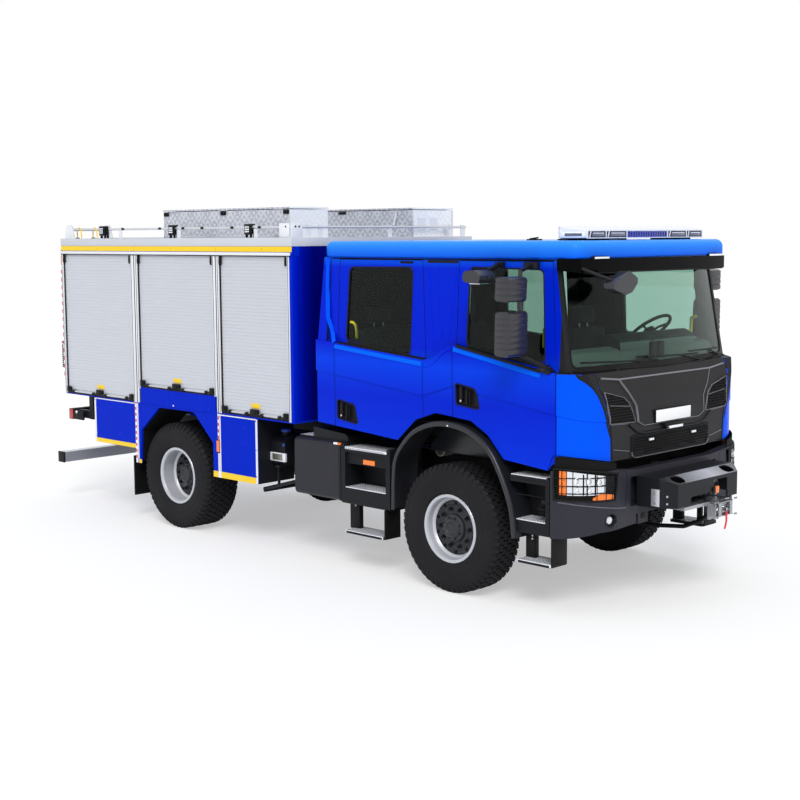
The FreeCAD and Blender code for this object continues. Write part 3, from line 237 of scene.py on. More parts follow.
warning_white = finish("white film", (235, 235, 238), 0.35, drift=0.03)
lamp_amber = finish("amber lens", (245, 120, 10), 0.15, drift=0.1, coat=0.5)
lamp_red = finish("red lens", (170, 14, 18), 0.15, drift=0.1, coat=0.5)
led_white = finish("white diffuser", (240, 243, 248), 0.25, drift=0.03)
led_blue = finish("blue lens", (40, 60, 190), 0.12, drift=0.1, coat=0.5)
led_pale = finish("pale blue lens", (84, 90, 112), 0.12, drift=0.1, coat=0.5)
mirror_grey = finish("mirror housing", (42, 42, 47), 0.28, grain=0.1, grain_scale=500, specular=0.5)
mirror_glass = finish("silvered glass", (215, 220, 222), 0.04, metallic=1.0, drift=0.01)
trim_dark = finish("interior trim", (24, 28, 27), 0.6, specular=0.15)
dash_grey = finish("dashboard skin", (84, 92, 90), 0.62, grain=0.4, grain_scale=600, drift=0.1)
grab_yellow = finish("grab handle paint", (235, 205, 20), 0.4, drift=0.04)
cap_blue = finish("blue filler cap", (25, 70, 170), 0.4, drift=0.05)
plate_white = finish("blank plate", (238, 238, 240), 0.4, drift=0.02)
exhaust_grey = finish("heat-stained steel", (150, 145, 138), 0.45, metallic=0.7, drift=0.3, grain=0.3)
print("plain finishes:", len(bpy.data.materials))

# %% [markdown]
# ## Patterned finishes
# Tread plate has raised lozenges that lean alternately left and right. A Voronoi texture without
# randomness is a regular grid of cells; stretched and turned by 45 degrees, each cell becomes a lozenge,
# and a checker picks which of the two leanings a spot gets. Glass needs no grain: its tint comes from
# the colour of its body, and the clearness from full transmission.

# %% Tread plate, tyre rubber and glass


def tread_plate(name, turn_axis, plain, raised):
    """Aluminium plate with leaning lozenges. turn_axis is the plate's normal: X, Y or Z."""
    mat = finish(name, plain, 0.32, metallic=0.35)
    nodes = mat.node_tree.nodes
    links = mat.node_tree.links
    place = next(n for n in nodes if n.type == "TEX_COORD")
    shader = nodes["Principled BSDF"]
    heights = []
    for lean in (45, -45):
        turn = nodes.new("ShaderNodeVectorRotate")
        turn.rotation_type = turn_axis + "_AXIS"
        turn.inputs["Angle"].default_value = math.radians(lean)
        links.new(place.outputs["Object"], turn.inputs["Vector"])
        stretch = nodes.new("ShaderNodeMapping")
        stretch.inputs["Scale"].default_value = {"X": (1, 1, 3.0), "Y": (1, 1, 3.0), "Z": (1, 3.0, 1)}[turn_axis]
        links.new(turn.outputs["Vector"], stretch.inputs["Vector"])
        cells = node_of(mat, "ShaderNodeTexVoronoi", Scale=19.0, Randomness=0.0)
        links.new(stretch.outputs["Vector"], cells.inputs["Vector"])
        heights.append(cells.outputs["Distance"])
    pick = node_of(mat, "ShaderNodeTexChecker", Scale=19.0)
    links.new(place.outputs["Object"], pick.inputs["Vector"])
    either = nodes.new("ShaderNodeMix")
    links.new(pick.outputs["Fac"], either.inputs[0])
    links.new(heights[0], either.inputs[2])
    links.new(heights[1], either.inputs[3])
    lozenge = spread(mat, either.outputs[0], 0.26, 0.4, 1.0, 0.0)
    bump = node_of(mat, "ShaderNodeBump", Strength=0.6, Distance=0.002)
    links.new(lozenge, bump.inputs["Height"])
    links.new(bump.outputs["Normal"], shader.inputs["Normal"])
    # The raised lozenges are painted in the lighter colour, a painted highlight on their tops.
    links.new(blend_colours(mat, lozenge, light_of(plain), light_of(raised)), shader.inputs["Base Color"])
    return mat


def clear_glass(name, colour):
    """Glass tinted in its body."""
    mat = finish(name, colour, 0.0, drift=0.0)
    shader = mat.node_tree.nodes["Principled BSDF"]
    shader.inputs["Transmission Weight"].default_value = 1.0
    shader.inputs["IOR"].default_value = 1.2
    return mat


# The copy for the ends is painted lighter and the copy for the sides darker than the top, as painted light and shade.
plate_side_painted_shade = tread_plate("tread plate, sides in painted shade", "Y", (172, 176, 188), (226, 228, 234))
plate_end_painted_light = tread_plate("tread plate, ends in painted light", "X", (232, 235, 240), (254, 254, 255))
plate_top = tread_plate("tread plate, top", "Z", (186, 189, 198), (230, 232, 236))
green_glass = clear_glass("green tinted glass", (212.23, 236.15, 225.93))
side_glass = clear_glass("side window glass", (161.73, 187.52, 177.06))
lens_glass = clear_glass("lamp lens", (251.61, 252.74, 255))
visor_glass = finish("smoked visor", (3, 3, 4), 0.14, specular=0.05)
tyre_rubber = finish("tyre rubber", (24, 24, 27), 0.72, grain=0.35, grain_scale=260, drift=0.18, specular=0.2)
slat_metal = finish("anodised slats", (196, 199, 207), 0.36, metallic=0.25, drift=0.03, grain=0.05)
seat_cloth = finish("seat cloth", (36, 38, 42), 0.9, grain=0.8, grain_scale=900, drift=0.15)
strap_web = finish("red webbing", (222, 20, 30), 0.75, grain=0.9, grain_scale=1200, drift=0.12)
print("finishes in all:", len(bpy.data.materials))

# %% [markdown]
# ## Modelling helpers
# Nearly every small piece is one of a handful of shapes: a block with broken edges, a round bar, a flat
# outline given thickness, or a profile spun round an axis. Each helper adds its shape to a bmesh with a
# material index, so that a whole lamp or mirror is built in one mesh. Left-hand pieces are the
# right-hand ones turned over across the middle of the truck.

# %% Blocks and round bars


def paint_faces(verts, mat):
    """Give the faces around some vertices a material index."""
    for face in {f for v in verts for f in v.link_faces}:
        face.material_index = mat


def break_edges(bm, verts, edge, steps):
    """Bevel all the edges around some vertices."""
    edges = list({e for v in verts for e in v.link_edges})
    bmesh.ops.bevel(bm, geom=edges, offset=edge / 1000, offset_type="OFFSET", affect="EDGES",
                    segments=steps, profile=0.5, material=-1, clamp_overlap=True)


def block(bm, x, y, z, mat=0, edge=0.0, steps=2):
    """A box from three (low, high) pairs in millimetres from the front axle, with its edges broken."""
    low, high = at(x[0], y[0], z[0]), at(x[1], y[1], z[1])
    verts = bmesh.ops.create_cube(bm, size=1.0)["verts"]
    bmesh.ops.scale(bm, vec=high - low, verts=verts)
    bmesh.ops.translate(bm, vec=(high + low) / 2, verts=verts)
    paint_faces(verts, mat)
    if edge:
        break_edges(bm, verts, edge, steps)


def rod(bm, a, b, radius, mat, sides, end_radius=None):
    """A round bar between two places in the model's frame, with its radius in millimetres."""
    turn = (b - a).to_track_quat("Z", "Y").to_matrix().to_4x4()
    verts = bmesh.ops.create_cone(
        bm, cap_ends=True, cap_tris=False, segments=sides, radius1=radius / 1000,
        radius2=(radius if end_radius is None else end_radius) / 1000, depth=(b - a).length,
        matrix=Matrix.Translation((a + b) / 2) @ turn,
    )["verts"]
    paint_faces(verts, mat)


def bar(bm, start, end, radius, mat=0, sides=16, end_radius=None):
    """A round bar between two places in millimetres from the front axle."""
    rod(bm, at(*start), at(*end), radius, mat, sides, end_radius)


def pipe(bm, points, radius, mat=0, sides=12):
    """A bent bar through several places, with a ball at each bend."""
    for start, end in zip(points, points[1:]):
        bar(bm, start, end, radius, mat, sides)
    for point in points[1:-1]:
        ball = bmesh.ops.create_icosphere(bm, subdivisions=2, radius=radius / 1000,
                                          matrix=Matrix.Translation(at(*point)))["verts"]
        paint_faces(ball, mat)


print("block, bar and pipe ready")

# %% [markdown]
# Flat parts are drawn as an outline on a plane and then grown to their thickness by an extrusion. A frame
# is the same with its middle taken out by an inset.

# %% Outlines with thickness


def drawn(point, plane, depth):
    """A place from a point on a drawing plane, such as "xz", and its depth on the third axis."""
    values = dict(zip(plane, point))
    return at(*(values.get(axis, depth) for axis in "xyz"))


def thicken(bm, verts, faces, way, mat):
    """Gives flat faces a thickness along a way, and returns every vertex."""
    grown = bmesh.ops.extrude_face_region(bm, geom=faces)["geom"]
    top = [g for g in grown if isinstance(g, bmesh.types.BMVert)]
    bmesh.ops.translate(bm, vec=way, verts=top)
    everything = verts + top
    bmesh.ops.recalc_face_normals(bm, faces=list({f for v in everything for f in v.link_faces}))
    paint_faces(everything, mat)
    return everything


def plate(bm, points, depth, plane="xz", mat=0, edge=0.0):
    """An outline with thickness. plane names the outline's two axes, and depth is (from, to) on the third."""
    verts = [bm.verts.new(drawn(p, plane, depth[0])) for p in points]
    way = drawn(points[0], plane, depth[1]) - verts[0].co
    everything = thicken(bm, verts, [bm.faces.new(verts)], way, mat)
    if edge:
        break_edges(bm, everything, edge, 2)


def ring(bm, points, width, depth, plane="xz", mat=0):
    """A flat frame: an outline with its middle taken out, given thickness."""
    verts = [bm.verts.new(drawn(p, plane, depth[0])) for p in points]
    way = drawn(points[0], plane, depth[1]) - verts[0].co
    face = bm.faces.new(verts)
    face.normal_update()
    bmesh.ops.inset_region(bm, faces=[face], thickness=width / 1000, use_even_offset=True)
    rim = list({f for v in face.verts for f in v.link_faces if f != face})
    bmesh.ops.delete(bm, geom=[face], context="FACES_ONLY")
    thicken(bm, list({v for f in rim for v in f.verts}), rim, way, mat)


print("plate and ring ready")

# %% [markdown]
# Round parts are profiles spun round an axis. What the spin made is found again by walking from face to
# face, because the same mesh may hold other shapes already.

# %% Profiles spun round an axis
WAYS = {"x": Vector((1, 0, 0)), "y": Vector((0, 1, 0)), "z": Vector((0, 0, 1))}


def spun(bm, profile, x, y, z, mat=0, steps=64, axis="y"):
    """A closed outline of (along, radius) pairs, spun round an axis, given by name or as a direction."""
    centre = at(x, y, z)
    along = WAYS[axis] if isinstance(axis, str) else axis
    out = WAYS["x" if axis == "z" else "z"]
    verts = [bm.verts.new(centre + along * (s / 1000) + out * (r / 1000)) for s, r in profile]
    edges = [bm.edges.new((verts[i - 1], verts[i])) for i in range(len(verts))]
    made = bmesh.ops.spin(bm, geom=verts + edges, cent=centre, axis=along, dvec=(0, 0, 0),
                          angle=math.tau, steps=steps, use_merge=True, use_duplicate=False)
    ends = {v for g in made["geom_last"] for v in (g.verts if hasattr(g, "verts") else [g])}
    ring_verts = set(verts) | ends
    shell = set()
    front = [f for v in ring_verts if v.is_valid for f in v.link_faces]
    while front:
        face = front.pop()
        if face in shell:
            continue
        shell.add(face)
        front.extend(f for e in face.edges for f in e.link_faces if f not in shell)
    for face in shell:
        face.material_index = mat


print("spun ready")

# %% [markdown]
# A finished piece is shaded smooth up to an angle, so that bevels flow and corners stay crisp, and is
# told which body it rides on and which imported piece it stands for.

# %% Left-hand copies and finished pieces


def turned_over(bm):
    """The same mesh on the other side of the truck."""
    bmesh.ops.scale(bm, vec=(1, -1, 1), verts=bm.verts)
    bmesh.ops.reverse_faces(bm, faces=bm.faces)


def with_mirror(bm):
    """Adds the left-hand copy of everything in the mesh."""
    copy = bmesh.ops.duplicate(bm, geom=bm.verts[:] + bm.edges[:] + bm.faces[:])["geom"]
    bmesh.ops.scale(bm, vec=(1, -1, 1), verts=[g for g in copy if isinstance(g, bmesh.types.BMVert)])
    bmesh.ops.reverse_faces(bm, faces=[g for g in copy if isinstance(g, bmesh.types.BMFace)])


made = []


def add_piece(name, bm, mats, body="truck", smooth=32.0, stands_for=()):
    """A finished piece: its mesh, smooth shading up to an angle, its materials and the body it rides on."""
    mesh = bpy.data.meshes.new(name)
    bm.to_mesh(mesh)
    bm.free()
    for mat in mats:
        mesh.materials.append(mat)
    mesh.shade_smooth()
    mesh.set_sharp_from_angle(angle=math.radians(smooth))
    piece = bpy.data.objects.new(name, mesh)
    bpy.context.collection.objects.link(piece)
    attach(piece, body)
    if stands_for:
        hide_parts(*stands_for)
    made.append(name)
    print("made", name, "with", len(mesh.polygons), "faces")
    return piece


print("pieces can be added")

# %% [markdown]
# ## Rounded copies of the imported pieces
# Pressed and folded sheet has no knife edges: light runs along every rim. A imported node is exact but
# sharp, so a copy of it is merged, its flat areas are dissolved into single faces, and a Bevel modifier
# rounds what is left. The copy stands for the node, which stays in the model for collision.

# %% A helper that rounds a node's edges


def rounded(node, mats, width=3.0, body="truck", choose=None, angle=28.0, cuts=()):
    """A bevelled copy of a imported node, with a material for each face chosen by a function.

    cuts are planes, as a place in millimetres and a normal, that part the faces first."""
    bm = bmesh.new()
    bm.from_mesh(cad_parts[node].data)
    bmesh.ops.remove_doubles(bm, verts=bm.verts, dist=0.00002)
    bmesh.ops.dissolve_limit(bm, angle_limit=math.radians(0.6), verts=bm.verts, edges=bm.edges)
    for place, normal in cuts:
        bmesh.ops.bisect_plane(bm, geom=bm.verts[:] + bm.edges[:] + bm.faces[:], plane_co=at(*place), plane_no=normal)
    for face in bm.faces:
        face.material_index = choose(face) if choose else 0
    piece = add_piece(node + ".shell", bm, mats, body, stands_for=(node,))
    if width:
        soft = piece.modifiers.new("edges", "BEVEL")
        soft.width = width / 1000
        soft.segments = 2
        soft.limit_method = "ANGLE"
        soft.angle_limit = math.radians(angle)
        soft.harden_normals = True
        soft.use_clamp_overlap = True
        level = piece.modifiers.new("normals", "WEIGHTED_NORMAL")
        level.keep_sharp = False
    return piece


print("rounding helper ready")

# %% [markdown]
# ## Pieces that follow a surface
# Rubber seals, ribs and grilles lie on curved sheet. Their routes are drawn flat, as seen from the side
# or from the front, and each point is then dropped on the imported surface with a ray. A ribbon becomes a
# low strip with sloping edges, and a patch becomes a thin skin cut to an outline.

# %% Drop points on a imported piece
from mathutils.bvhtree import BVHTree

FAR = 4.0
skins = {}


def skin_of(nodes):
    """A search tree of one or more nodes' faces, kept for the next call."""
    if nodes not in skins:
        bm = bmesh.new()
        for node in nodes.split():
            bm.from_mesh(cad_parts[node].data)
        skins[nodes] = BVHTree.FromBMesh(bm)
        bm.free()
    return skins[nodes]


def dropped(nodes, view, first, second):
    """The surface point and its normal under a drawn point. view is "front" (y, z), "side" (x, z) or "top" (x, y)."""
    if view == "front":
        start, way = at(0, first, second), Vector((-1, 0, 0))
        start.x = FAR + 2.0
    elif view == "side":
        start, way = at(first, 0, second), Vector((0, 1, 0))
        start.y = -FAR
    else:
        start, way = at(first, second, 0), Vector((0, 0, -1))
        start.z = FAR
    place, normal, _, _ = skin_of(nodes).ray_cast(start, way)
    if place is None:
        return None, None
    return place, normal if normal.dot(way) < 0 else -normal


print("points can be dropped from the front, the side and the top")

# %% [markdown]
# A strip is strung through sections that stand on the surface: seals, beads, bright edges and rims all
# differ only in width, height and how far the top leans or narrows.

# %% Strips along a route


def strung(bm, sections, mat=0):
    """A closed length through sections with equal numbers of corners, given as places."""
    rows = [[bm.verts.new(place) for place in section] for section in sections]
    faces = [bm.faces.new(rows[0][::-1]), bm.faces.new(rows[-1])]
    for a, b in zip(rows, rows[1:]):
        for k in range(len(a)):
            faces.append(bm.faces.new((a[k - 1], a[k], b[k], b[k - 1])))
    bmesh.ops.recalc_face_normals(bm, faces=faces)
    for face in faces:
        face.material_index = mat


def ribbon(bm, nodes, view, route, width, height, mat=0, sink=2.0, step=40.0, crown=0.6, lean=0.0):
    """A low strip along a route on a surface. crown is the share of the width left at the top."""
    fine = []
    for (a0, b0), (a1, b1) in zip(route, route[1:]):
        count = max(1, round(math.hypot(a1 - a0, b1 - b0) / step))
        fine += [(a0 + (a1 - a0) * i / count, b0 + (b1 - b0) * i / count) for i in range(count)]
    fine.append(route[-1])
    spots = [dropped(nodes, view, a, b) for a, b in fine]
    spots = [s for s in spots if s[0] is not None]
    sections = []
    for i, (place, normal) in enumerate(spots):
        along = spots[min(i + 1, len(spots) - 1)][0] - spots[max(i - 1, 0)][0]
        if along.length < 1e-6:
            continue
        side = normal.cross(along).normalized() * (width / 2000)
        up, down = normal * (height / 1000), normal * (-sink / 1000)
        shift = side * lean
        sections.append((place - side + down, place + side + down,
                         place + side * crown + shift + up, place - side * crown + shift + up))
    strung(bm, sections, mat)


print("strips ready")

# %% [markdown]
# A skin is a flat outline cut into small triangles, so that it can bend with the surface under it.
# Honeycomb is laid over such a skin, one wire for each side of a cell.

# %% Skins and honeycomb


def patch(bm, nodes, view, outline, lift, mat=0, thick=3.0, cuts=3, reach=60.0):
    """A thin skin on a surface, cut to an outline and lifted a little off it."""
    flat = bmesh.new()
    face = flat.faces.new([flat.verts.new((a, b, 0)) for a, b in outline])
    bmesh.ops.triangulate(flat, faces=[face])
    for _ in range(cuts):
        long = [e for e in flat.edges if e.calc_length() > reach]
        if long:
            bmesh.ops.subdivide_edges(flat, edges=long, cuts=1)
            bmesh.ops.triangulate(flat, faces=[f for f in flat.faces if len(f.verts) > 3])
    flat.verts.index_update()
    upper, lower = {}, {}
    for v in flat.verts:
        place, normal = dropped(nodes, view, v.co.x, v.co.y)
        if place is not None:
            upper[v.index] = bm.verts.new(place + normal * (lift / 1000))
            lower[v.index] = bm.verts.new(place + normal * ((lift - thick) / 1000))
    faces = []
    for f in flat.faces:
        ids = [v.index for v in f.verts]
        if all(i in upper for i in ids):
            faces.append(bm.faces.new([upper[i] for i in ids]))
            faces.append(bm.faces.new([lower[i] for i in reversed(ids)]))
    for e in flat.edges:
        ids = [v.index for v in e.verts]
        if len(e.link_faces) == 1 and all(i in upper for i in ids):
            faces.append(bm.faces.new((upper[ids[0]], upper[ids[1]], lower[ids[1]], lower[ids[0]])))
    flat.free()
    bmesh.ops.recalc_face_normals(bm, faces=faces)
    for f in faces:
        f.material_index = mat


def inside(point, outline):
    """Whether a flat point lies inside an outline."""
    a, b = point
    hit = False
    for (a0, b0), (a1, b1) in zip(outline, outline[1:] + outline[:1]):
        if (b0 > b) != (b1 > b) and a < a0 + (b - b0) * (a1 - a0) / (b1 - b0):
            hit = not hit
    return hit


def honeycomb(bm, nodes, view, outline, pitch, wire, height, mat=0):
    """A lattice of six-sided cells inside an outline, as short bars on a surface."""
    lows = [min(p[i] for p in outline) for i in (0, 1)]
    highs = [max(p[i] for p in outline) for i in (0, 1)]
    row_step = pitch * math.sqrt(3) / 2
    radius = pitch / math.sqrt(3)
    row, b = 0, lows[1]
    while b < highs[1]:
        a = lows[0] + (row % 2) * pitch / 2
        while a < highs[0]:
            if inside((a, b), outline):
                ends = [(a + radius * math.sin(math.radians(60 * k)), b + radius * math.cos(math.radians(60 * k)))
                        for k in range(4)]
                spots = [dropped(nodes, view, *e) for e in ends]
                for (p, n), (q, m) in zip(spots, spots[1:]):
                    if p is not None and q is not None:
                        rod(bm, p + n * (height / 1000), q + m * (height / 1000), wire / 2, mat, 5)
            a += pitch
        row += 1
        b += row_step


print("patch and honeycomb ready")

# %% [markdown]
# ## The pull strap
# A short red webbing strap hangs from the winch hook, so that the rope can be pulled out by hand. It is
# a free cord, so its line is a smooth NURBS curve led by the route's control points. Webbing is flat:
# a thin rectangle is carried along points read from that curve.

# %% Hang the strap from the hook
STRAP_ROUTE = [(1853, 175, 761), (1854, 175, 725), (1856, 175, 688), (1851, 175, 650), (1840, 175, 606)]
STRAP_WIDTH = 24.0
STRAP_THICK = 4.0


def smooth_route(points):
    """Points along a NURBS curve of order 3 that starts and ends at its own end points."""
    curve = bpy.data.curves.new("route", "CURVE")
    curve.dimensions = "3D"
    curve.resolution_u = 8
    spline = curve.splines.new("NURBS")
    spline.points.add(len(points) - 1)
    for knot, point in zip(spline.points, points):
        knot.co = (*at(*point), 1)
    spline.order_u = 3
    spline.use_endpoint_u = True
    holder = bpy.data.objects.new("route", curve)
    bpy.context.collection.objects.link(holder)
    line = bpy.data.meshes.new_from_object(holder)
    result = [v.co.copy() for v in line.vertices]
    bpy.data.objects.remove(holder)
    bpy.data.meshes.remove(line)
    return result


strap_line = smooth_route(STRAP_ROUTE)
bm = bmesh.new()
across = Vector((0, STRAP_WIDTH / 2000, 0))
thin = Vector((STRAP_THICK / 2000, 0, 0))
corners = [strap_line[0] + a + b for a, b in ((-across, -thin), (across, -thin), (across, thin), (-across, thin))]
section = bm.faces.new([bm.verts.new(c) for c in corners])
loop = list(section.edges)
bmesh.ops.reverse_faces(bm, faces=[section])
for before, after in zip(strap_line, strap_line[1:]):
    grown = bmesh.ops.extrude_edge_only(bm, edges=loop)["geom"]
    loop = [g for g in grown if isinstance(g, bmesh.types.BMEdge) and all(v in grown for v in g.verts)]
    bmesh.ops.translate(bm, vec=after - before, verts=[g for g in grown if isinstance(g, bmesh.types.BMVert)])
bmesh.ops.contextual_create(bm, geom=loop)
bmesh.ops.recalc_face_normals(bm, faces=bm.faces)
strap = add_piece("pull_strap.web", bm, [strap_web], stands_for=("pull_strap",))

# %% [markdown]
# ## Floor, background and light
# The truck stands on a plain pale floor. The floor, and what metal and glass reflect, are white through
# Light Path, so that the lamps can stay at a plain level at which a colour shows about as it is
# written. One wide soft sun from the front right shapes the bodywork, and the world fills the shade.

# %% Set the stage
SUN_STRENGTH = 1.95
SUN_SPREAD = math.radians(24)
SUN_WARMTH = (1.0, 0.985, 0.96)
SUN_FROM = Vector((0.60, -0.60, 0.75))
FLOOR_GLOW = 0.45
scene = bpy.context.scene
scene.view_settings.view_transform = "Standard"
world = bpy.data.worlds.new("studio")
scene.world = world
world.use_nodes = True
sky = world.node_tree
sky.nodes.clear()
path = sky.nodes.new("ShaderNodeLightPath")
seen, seen_all = (sky.nodes.new("ShaderNodeMath") for _ in range(2))
seen.operation = seen_all.operation = "MAXIMUM"
white = node_of(world, "ShaderNodeBackground", Color=(1, 1, 1, 1), Strength=1.0)
fill = node_of(world, "ShaderNodeBackground", Color=(0.93, 0.96, 1.0, 1))
either = sky.nodes.new("ShaderNodeMixShader")
out = sky.nodes.new("ShaderNodeOutputWorld")
sky.links.new(path.outputs["Is Camera Ray"], seen.inputs[0])
sky.links.new(path.outputs["Is Glossy Ray"], seen.inputs[1])
sky.links.new(seen.outputs[0], seen_all.inputs[0])
sky.links.new(path.outputs["Is Transmission Ray"], seen_all.inputs[1])
sky.links.new(seen_all.outputs[0], either.inputs[0])
sky.links.new(fill.outputs[0], either.inputs[1])
sky.links.new(white.outputs[0], either.inputs[2])
sky.links.new(either.outputs[0], out.inputs["Surface"])
aimed = sky.nodes.new("ShaderNodeTexCoord")
split = sky.nodes.new("ShaderNodeSeparateXYZ")
sky.links.new(aimed.outputs["Generated"], split.inputs["Vector"])
sky.links.new(spread(world, split.outputs["Z"], -0.2, 1.0, 0.3, 1.0), fill.inputs["Strength"])

lamp = bpy.data.lights.new("soft sun", "SUN")
lamp.energy = SUN_STRENGTH
lamp.angle = SUN_SPREAD
lamp.color = SUN_WARMTH
sun = bpy.data.objects.new("soft sun", lamp)
sun.rotation_euler = SUN_FROM.to_track_quat("Z", "Y").to_euler()
bpy.context.collection.objects.link(sun)

floor_white = bpy.data.materials.new("pale floor")
floor_white.use_nodes = True
tree = floor_white.node_tree
ground = tree.nodes["Principled BSDF"]
ground.inputs["Base Color"].default_value = (0.93, 0.93, 0.93, 1)
ground.inputs["Roughness"].default_value = 0.9
ground.inputs["Specular IOR Level"].default_value = 0.0
glow = node_of(floor_white, "ShaderNodeEmission", Color=(1, 1, 1, 1))
ray = tree.nodes.new("ShaderNodeLightPath")
share = tree.nodes.new("ShaderNodeMath")
share.operation = "MULTIPLY"
share.inputs[1].default_value = FLOOR_GLOW
mixed = tree.nodes.new("ShaderNodeMixShader")
tree.links.new(ray.outputs["Is Camera Ray"], share.inputs[0])
tree.links.new(share.outputs[0], mixed.inputs[0])
tree.links.new(ground.outputs[0], mixed.inputs[1])
tree.links.new(glow.outputs[0], mixed.inputs[2])
tree.links.new(mixed.outputs[0], tree.nodes["Material Output"].inputs["Surface"])
bm = bmesh.new()
bmesh.ops.create_grid(bm, x_segments=1, y_segments=1, size=60.0)
floor_mesh = bpy.data.meshes.new("floor")
bm.to_mesh(floor_mesh)
bm.free()
floor_mesh.materials.append(floor_white)
floor = bpy.data.objects.new("floor", floor_mesh)
floor.location.z = -0.001
bpy.context.collection.objects.link(floor)
print("stage set")

# %% [markdown]
# ## Tyres
# An off-road truck tyre is a smooth carcass with rings moulded into its sidewall, and rows of rubber
# blocks on top. The carcass is a closed outline spun round the axle. One slice of the tread, a block
# from each row, is modelled once and copied round, with every second row moved by half a block.

# %% Spin the carcasses and set the tread blocks
TYRE_R = 562.0
TREAD_DEPTH = 15.0
TREAD_SLICES = 54
# each axle's place along the truck, its wheels' distance from the middle, the half widths of tyre and rim,
# and how far out the wheel's centre lies
AXLES = (("front", 0, 1109, 159, 141, 40), ("rear", -3950, 1027, 212, 185, 4))


def carcass_outline(half):
    """The closed outline of a tyre from its half width: beads, ringed sidewalls and the floor of the tread."""
    side = [(0.74, 290), (0.83, 301), (0.9, 322), (0.93, 330), (0.925, 334), (0.965, 356), (0.985, 384),
            (0.995, 392), (0.99, 396), (1, 420), (0.998, 450), (1.003, 456), (0.99, 462), (0.985, 490),
            (0.975, 508), (0.95, 524), (0.9, 538), (0.82, TYRE_R - TREAD_DEPTH)]
    side = [(share * half, r) for share, r in side]
    return side + [(-s, r) for s, r in reversed(side)]


def tread_slice(bm, centre_x, y, half, pitch):
    """One block in each row, and a lug over each shoulder."""
    rows = 7 if half > 180 else 5
    top = TYRE_R * 2
    wide = 0.8 * half
    step = 2 * wide / rows
    for i in range(rows):
        middle = y - wide + step * (i + 0.5)
        start = pitch * (0.5 if i % 2 else 0.0)
        reach = step * 0.46
        length = pitch * (0.4 if i % 2 else 0.44)
        notch = length * 0.45
        back, front = start - length + notch, start + length - notch * 0.2
        shape = [(middle - reach, back), (middle, start - length), (middle + reach, back),
                 (middle + reach, front), (middle, start + length), (middle - reach, front)]
        plate(bm, [(px + centre_x, py) for py, px in shape], (top - TREAD_DEPTH - 4, top), plane="xy")
    for s in (-1, 1):
        shape = [(0.82, 0), (0.985, 34), (0.995, 66), (0.9, 66), (0.78, 20)]
        shape = [(y + s * half * share, top - drop) for share, drop in shape]
        plate(bm, shape, (centre_x + pitch * 0.08, centre_x + pitch * 0.62), plane="yz")


def tyre(name, centre_x, y, half, body):
    """A tyre with its tread, for one wheel body."""
    bm = bmesh.new()
    tread_slice(bm, centre_x, y, half, math.tau * TYRE_R / TREAD_SLICES)
    centre = at(centre_x, y, TYRE_R)
    bmesh.ops.spin(bm, geom=bm.verts[:] + bm.edges[:] + bm.faces[:], cent=centre, axis=(0, 1, 0), dvec=(0, 0, 0),
                   angle=math.tau * (TREAD_SLICES - 1) / TREAD_SLICES, steps=TREAD_SLICES - 1,
                   use_merge=False, use_duplicate=True)
    spun(bm, carcass_outline(half), centre_x, y, TYRE_R, steps=96)
    bmesh.ops.recalc_face_normals(bm, faces=bm.faces)
    add_piece(name + ".tread", bm, [tyre_rubber], body, stands_for=(name,), smooth=38)


for side, s in SIDES:
    for end, x, y, half, _, _ in AXLES:
        tyre("tyre_%s_%s" % (end, side), x, s * y, half, "wheel_%s_%s" % (end, side))

# %% [markdown]
# ## Wheels
# The rim is a silver steel channel. On the front axle its dark centre stands nearly flush, and on the
# rear axle it lies deep inside the wide rim. Ten nuts hold it, and the hub with its ring of small bolts
# stands out through the middle. All of it is spun, except the nuts.

# %% Spin the rims and set the nuts
NUTS = 10
NUT_RING = 167.5
HOLE_RING = 218.0
HUB_BOLTS = 8
HUB_RING = 98.0


